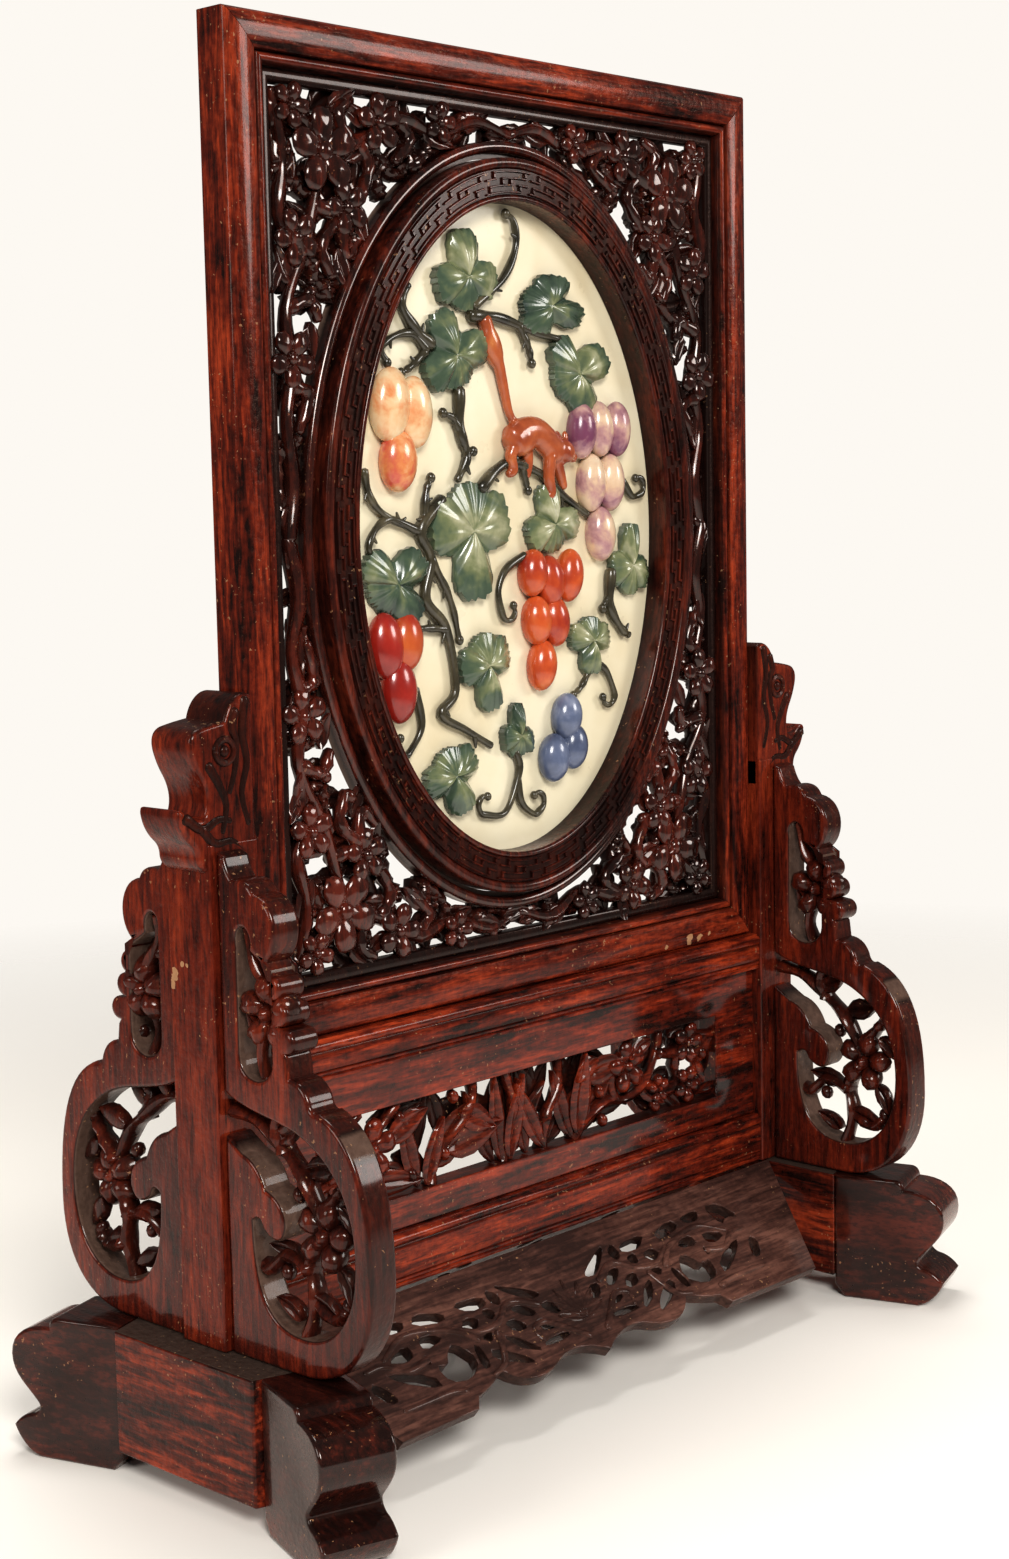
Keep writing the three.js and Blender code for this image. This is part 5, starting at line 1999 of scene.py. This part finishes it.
@dataclass
class Waist:
    """The two moulded rails and the pierced panel between them."""

    reach: float = 160.7
    half_depth: float = 12.5
    lower: tuple[float, float] = (62.3, 85.2)
    upper: tuple[float, float] = (158.7, 175.7)
    panel: tuple[float, float] = (-8.0, 3.0)
    aperture: tuple[float, float, float] = (131.0, 99.5, 139.3)

    STEMS = (
        ((-131, 110), (-116, 114), (-104, 122), (-92, 128), (-82, 139)),
        ((-104, 118), (-106, 108), (-98, 100)),
        ((-131, 126), (-120, 124), (-112, 132), (-104, 139)),
        ((-62, 99), (-58, 110), (-46, 120), (-36, 130), (-34, 139)),
        ((-16, 99), (-12, 112), (-10, 124), (-14, 139)), ((10, 99), (12, 114), (20, 126), (22, 139)),
        ((30, 99), (40, 108), (54, 112), (68, 110), (80, 116), (90, 128), (94, 139)),
        ((80, 116), (96, 108), (110, 112), (120, 104), (131, 104)),
        ((90, 128), (104, 126), (114, 132), (131, 130)),
        ((104, 126), (106, 116), (112, 110)), ((60, 112), (58, 124), (66, 132), (72, 139)),
    )
    LEAVES = (
        (-128, 104, 22, 11, 1.2), (-122, 117, 20, 10, -0.9), (-118, 128, 18, 9, 2.4),
        (-102, 107, 34, 11, -0.1),
        (-88, 124, 24, 12, 0.45), (-90, 112, 20, 10, -0.5), (-70, 100, 36, 10, 1.85),
        (-66, 100, 30, 10, 1.25),
        (-60, 106, 36, 18, 0.75), (-52, 112, 34, 16, 0.2), (-44, 128, 22, 12, -0.5),
        (-22, 100, 40, 10, 2.05),
        (-18, 100, 40, 10, 1.7), (-14, 100, 38, 11, 1.35), (-10, 101, 36, 10, 0.95), (-2, 100, 36, 10, 1.75),
        (8, 101, 38, 10, 2.1), (14, 101, 32, 10, 0.8), (28, 101, 36, 11, 1.95), (32, 101, 38, 14, 1.45),
        (36, 101, 34, 12, 0.85), (40, 126, 26, 14, 0.15), (46, 134, 18, 10, 3.6), (56, 114, 22, 11, 1.2),
        (76, 118, 22, 10, -0.7), (84, 136, 18, 9, 3.5), (96, 112, 20, 9, -0.9), (120, 118, 18, 9, 0.9),
        (124, 108, 16, 8, 2.2), (100, 134, 16, 8, 0.4),
    )
    BLOSSOMS = (
        (-97, 122, 13.0, 0.2), (-120, 120, 8.0, 0.8), (68, 126, 12.0, 0.5), (113, 129, 10.0, 0.0),
        (112, 109, 9.0, 1.0),
        (90, 111, 7.0, 0.4),
    )
    BUDS = ((-80, 132), (-54, 111), (-74, 106), (50, 104), (88, 103), (124, 122), (48, 118), (-48, 135))

    def rail(self, bottom: float, top: float) -> bpy.types.Object:
        """Makes a rail with a bead above a broad flat and a small double bead.

        Args:
            bottom: height of its underside.
            top: height of its upper side.

        Returns:
            The rail, with painted shade in its grooves.
        """
        half, groove, nick = self.half_depth, top - 5.6, bottom + 3.8
        bead = arc((half - 1.9, top - 3.0), (1.9, 2.2), 1.4, -1.4, 9)
        flat = [
            (half - 1.5, groove), (half - 0.5, top - 6.6), (half - 0.2, (top + bottom) / 2 - 1),
            (half - 0.8, bottom + 4.2),
        ]
        low = [
            (half - 1.7, nick), (half - 0.9, bottom + 3.2), (half - 0.9, bottom + 2.4),
            (half - 1.7, bottom + 1.9),
        ]
        face = [(half - 2.2, top), *bead, *flat, *low, (half - 0.9, bottom + 1.2), (half - 0.9, bottom)]
        profile = [(-self.reach, y, z) for y, z in face] + [(-self.reach, -y, z) for y, z in reversed(face)]
        item = Bench.bar("rail", profile, (2 * self.reach, 0.0, 0.0))
        heights = Bench.points(item)[:, 2]
        lines = ((groove, 0.8), (nick, 0.56))
        Bench.painted_shade_and_dust(item, sum(dark * bell(heights, line, 0.5) for line, dark in lines))
        return item

    def build(self, looks: Materials) -> None:
        """Makes the rails and carves the panel.

        Args:
            looks: the finishes.
        """
        for node, (bottom, top) in (("stand_rail_lower", self.lower), ("stand_rail_upper", self.upper)):
            Bench.hand_over(self.rail(bottom, top), node, "stand_wood", looks.woods["stand_across"], 35.0)
        half, low, high = self.aperture
        bottom, top = self.lower[1] + 0.3, self.upper[0] - 0.3
        loops = [
            [(-x, z0), (x, z0), (x, z1), (-x, z1)]
            for x, z0, z1 in ((self.reach, bottom, top), (half, low, high))
        ]
        middle = sum(self.panel) / 2
        thick = self.panel[1] - self.panel[0]
        board = Bench.plate("waist_board", loops, thick / 2, 0.7, upright_plane(middle))
        # Painted shade on the board's cut edges and aperture walls.
        Bench.edge_shade(board, FRONT, 0.8)
        carving = Carving(upright_plane(middle))
        carving.foliage(self.STEMS, (1.2, 1.9), (3.0, 2.3), 1.2, 0.14)
        for index, (x, z, length, width, turn) in enumerate(self.LEAVES):
            out, under = 0.8 + 1.8 * math.sin(index * 2.1), low + high - z
            carving.leaf(x, z, out, length, width, turn, thick=3.6, curl=1.5, teeth=0.04)
            # A deeper mirrored leaf behind each, painted dark by its depth as shade in the gaps.
            carving.leaf(x + 8.0, under, -3.0, length * 0.9, width, -turn, thick=3.4, curl=0.4, teeth=0.04)
        for x, z, radius, turn in self.BLOSSOMS:
            carving.blossom(x, z, 2.0, radius, turn, thick=6.0)
        for x, z in self.BUDS:
            carving.bead(x, z, 1.5, (2.8, 3.4, 3.0), 0.4, fine=6)
        item = Bench.join("waist", [board, carving.make("waist_foliage", low=-2.2, high=6.0)])
        Bench.hand_over(item, "waist_panel", "waist_wood", looks.woods["waist"], 45.0)


@dataclass
class Aprons:
    """Sloping pierced aprons in front and behind."""

    top_depth: float = 14.0
    top_height: float = 62.0
    tilt: float = math.radians(50.9)
    length: float = 61.5
    thick: float = 6.0
    top_half: float = 164.4
    foot_half: float = 138.0
    shift: float = -10.0

    HOLES = (
        ((17, 21), (34.5, 12.6), (35.5, 14), (22.5, 24.5), (15, 24)),
        ((36.6, 16), (42, 13), (43, 19), (39, 22), (36.6, 19.5)),
        ((44.6, 15), (64, 14), (56, 20), (45, 19.6)), ((45, 21.8), (51, 21.4), (49, 27), (44, 25)),
        ((27.5, 26), (33, 24.6), (36, 26), (28, 32), (23, 31)),
        ((35.5, 30.6), (43.5, 30), (40.5, 36), (32.6, 36)),
        ((69, 16), (84, 12), (88, 17), (71, 20)), ((90.6, 13), (105, 12), (102, 17), (93, 17)),
        ((109.5, 11.6), (121, 13), (127.5, 23), (119, 20.5), (113, 24)),
        ((97, 23.5), (111, 28), (102, 31), (96, 29)),
        ((81, 23.5), (90, 23), (90, 29), (77.5, 27)),
        ((74, 30), (80, 33), (84, 39), (90, 37), (88, 46), (77, 48), (67.5, 41)),
        ((94, 40), (116, 32), (111, 38), (93, 47.5)),
        ((123, 34), (127, 37), (122, 45), (117, 45), (118.4, 40)),
        ((42, 38), (49, 35.4), (44, 43.6), (32, 49)), ((45, 46.6), (58, 38.6), (61, 43), (48, 50), (41, 52)),
        ((15, 44), (30, 44.6), (31, 47), (15, 46.6)), ((54, 23.4), (62, 22), (66, 27), (58, 28.6)),
        ((13, 28), (20, 28.6), (15, 35), (9, 34)), ((22, 34.6), (29, 35), (25, 40.6), (16, 40)),
        ((52, 31), (60, 33), (55, 36.4)), ((91, 30.6), (94.5, 33), (91, 36)),
        ((63, 36), (66, 34), (69, 46), (64, 46)),
    )

    def edge(self) -> list[Point2]:
        """Draws the outline.

        Returns:
            Points along the apron and, below 0, down its slope.
        """
        s, v = self.shift, self.length
        line = Outline(-self.top_half, 0).line(-self.foot_half, -v).line(s - 84, 0.5 - v).line(s - 80, -56)
        line.curve((s - 70, -54), (s - 61, -49.5)).curve((s - 50, -63), (s - 32, -56))
        line.curve((s - 18, -48), (s, -59))
        line.curve((s + 18, -48), (s + 32, -56)).curve((s + 50, -63), (s + 61, -49.5))
        line.curve((s + 70, -54), (s + 80, -56))
        return line.line(s + 84, 0.5 - v).line(self.foot_half, -v).line(self.top_half, 0).points

    def slope(self, way: int) -> Matrix:
        """Lays the apron's drawing plane.

        Args:
            way: front or back as a sign.

        Returns:
            The plane, its third axis out of the apron's face.
        """
        sin, cos = math.sin(self.tilt), math.cos(self.tilt)
        plane = Matrix((
            (1, 0, 0, 0), (0, sin, -cos, -self.top_depth), (0, cos, sin, self.top_height), (0, 0, 0, 1),
        ))
        return plane if way < 0 else Matrix.Rotation(math.pi, 4, "Z") @ plane

    def relief(self, way: int) -> bpy.types.Object:
        """Carves the face: a palmette with scrolls at both sides.

        Args:
            way: front or back as a sign.

        Returns:
            The low carving.
        """
        carving = Carving(self.slope(way))
        for blade in range(-3, 4):
            turn = math.pi / 2 + blade * 0.42
            carving.leaf(self.shift, -41, -0.8, 20 - abs(blade) * 1.6, 6.0, turn, curl=0.4)
        runs = (
            ((6, 50), (18, 40), (24, 36), (31, 38), (30, 44)),
            ((20, 28), (34, 22), (46, 29), (58, 30), (70, 24)),
            ((62, 33), (70, 26), (84, 21), (98, 20), (112, 27)), ((92, 33), (104, 35), (114, 29), (124, 29)),
            ((50, 33), (56, 46), (66, 50)), ((84, 52), (92, 50), (106, 50), (118, 50)),
        )
        for side in (-1, 1):
            for knots in runs:
                carving.tube([(self.shift + side * x, -v, -0.3) for x, v in knots], 1.9, 1.3, flat=0.8)
        return carving.make("apron_relief", low=-1.0, high=0.6)

    def build(self, looks: Materials) -> None:
        """Saws both aprons and carves the front one.

        Args:
            looks: the finishes.
        """
        for node, way, holes in (("apron_front", -1, self.HOLES), ("apron_back", 1, self.HOLES[::2])):
            loops = [self.edge()]
            for hole in holes:
                for side in (-1, 1):
                    loops.append([(self.shift + side * x, -v) for x, v in self.softened(hole)])
            place = self.slope(way) @ Matrix.Translation((0.0, 0.0, -self.thick / 2))
            plate = Bench.plate(node, loops, self.thick / 2, 0.6, place)
            # Painted shade on the plate's cut edges and hole walls.
            Bench.edge_shade(plate, tuple(place.to_3x3().col[2]), 0.7)
            parts = [plate, self.relief(way)] if way < 0 else [plate]
            item = Bench.join(node, parts)
            Bench.hand_over(item, node, "apron_wood", looks.woods["apron"], 45.0)

    @staticmethod
    def softened(hole: Sequence[Point2]) -> list[Point2]:
        """Eases a hole's corners.

        Args:
            hole: its corners.

        Returns:
            Two points for each corner.
        """
        points = []
        for index, spot in enumerate(hole):
            before, after = hole[index - 1], hole[(index + 1) % len(hole)]
            for other in (before, after):
                points.append(tuple(spot[i] + (other[i] - spot[i]) * 0.24 for i in (0, 1)))
        return points


@dataclass
class Studio:
    """Pale floor, soft lights and the camera."""

    eye: Point3 = (-0.75732, -0.70569, 0.39122)
    yaw: float = math.radians(46.951)
    pitch: float = math.radians(6.760)
    roll: float = math.radians(-1.098)
    lens: float = 54.60
    shift: tuple[float, float] = (-0.0050, -0.0013)
    pale: tuple[float, float, float, float] = (0.985, 0.95, 0.9, 1.0)
    ambient: float = 0.18
    gamma: float = 0.9
    aim: Point3 = (0.0, 0.0, 0.28)

    LIGHTS = (
        ("key", (-1.3, -1.9, 1.7), 1.0, 28.0, (1.0, 0.97, 0.92)),
        ("glint", (-0.95, -1.25, 1.05), 0.5, 14.0, (1.0, 0.98, 0.94)),
        ("side", (-2.2, 0.2, 1.0), 1.0, 17.0, (1.0, 0.96, 0.9)),
        ("fill", (1.5, -1.8, 1.1), 0.85, 20.0, (1.0, 0.97, 0.93)),
        ("top", (0.2, 0.3, 2.2), 1.0, 24.0, (1.0, 0.98, 0.95)),
    )

    def camera(self) -> None:
        """Sets the camera where the photograph was taken from."""
        data = bpy.data.cameras.new("camera")
        data.lens = self.lens
        data.sensor_width = 36.0
        data.shift_x, data.shift_y = self.shift
        data.clip_start, data.clip_end = 0.01, 50.0
        level = math.cos(self.pitch)
        ahead = Vector((math.sin(self.yaw) * level, math.cos(self.yaw) * level, -math.sin(self.pitch)))
        right = Vector((math.cos(self.yaw), -math.sin(self.yaw), 0.0))
        up = right.cross(ahead)
        turned = math.cos(self.roll) * right + math.sin(self.roll) * up
        upright = -math.sin(self.roll) * right + math.cos(self.roll) * up
        camera = bpy.data.objects.new("camera", data)
        axes = Matrix((turned, upright, -ahead)).transposed().to_4x4()
        camera.matrix_world = Matrix.Translation(self.eye) @ axes
        bpy.context.collection.objects.link(camera)
        bpy.context.scene.camera = camera

    def light(self, name: str, place: Point3, size: float, power: float, colour: Colour) -> None:
        """Hangs one soft light that faces the screen.

        Args:
            name: the light's name.
            place: where it hangs.
            size: its width.
            power: its strength in watts.
            colour: its colour.
        """
        data = bpy.data.lights.new(name, "AREA")
        data.shape = "DISK"
        data.size = size
        data.energy = power
        data.color = colour
        item = bpy.data.objects.new(name, data)
        item.location = place
        item.rotation_euler = (Vector(self.aim) - Vector(place)).to_track_quat("-Z", "Y").to_euler()
        bpy.context.collection.objects.link(item)

    def floor(self) -> None:
        """Lays a pale floor that fades into the backdrop."""
        Bench.clear()
        bpy.ops.mesh.primitive_plane_add(size=30.0, location=(0.0, 0.0, 0.0))
        floor = bpy.context.object
        floor.name = "floor"
        shader = Shader("pale_floor")
        grey = shader.noise(shader.place, 3.0, 2.0)
        reach = shader.vector_length("LENGTH", {0: shader.place})
        floor.data.materials.append(shader.surface({
            "Base Color": shader.ramp(grey, ((0.3, (0.94, 0.91, 0.865)), (0.7, (0.955, 0.925, 0.88)))),
            "Roughness": 0.9,
            "Specular IOR Level": 0.0,
            "Alpha": ((1.25 - reach) * 1.5).clamped(),
        }))

    def backdrop(self) -> None:
        """Sets the pale world, dimmer for the light it gives than for the camera."""
        world = bpy.data.worlds.new("studio")
        world.use_nodes = True
        tree = world.node_tree
        sheet = tree.nodes["Background"]
        sheet.inputs[0].default_value = self.pale
        seen = tree.nodes.new("ShaderNodeLightPath").outputs["Is Camera Ray"]
        level = tree.nodes.new("ShaderNodeMapRange")
        level.inputs["To Min"].default_value = self.ambient
        tree.links.new(seen, level.inputs["Value"])
        tree.links.new(level.outputs[0], sheet.inputs[1])
        bpy.context.scene.world = world
        bpy.context.scene.view_settings.view_transform = "Standard"
        bpy.context.scene.view_settings.gamma = self.gamma

    def build(self) -> None:
        """Sets up the whole studio."""
        self.camera()
        self.floor()
        for light in self.LIGHTS:
            self.light(*light)
        self.backdrop()


def main() -> None:
    """Builds every part of the screen and its stand."""
    logging.basicConfig(level=logging.INFO, format="%(message)s")
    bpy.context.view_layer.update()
    Studio().build()
    looks = Materials()
    for assembly in (
        ScreenFrame, OpenworkPanel, FretRing, StonePlaque, HardstoneVine, Feet, Posts, Brackets, Waist,
        Aprons,
    ):
        assembly().build(looks)


if __name__ == "__main__":
    main()
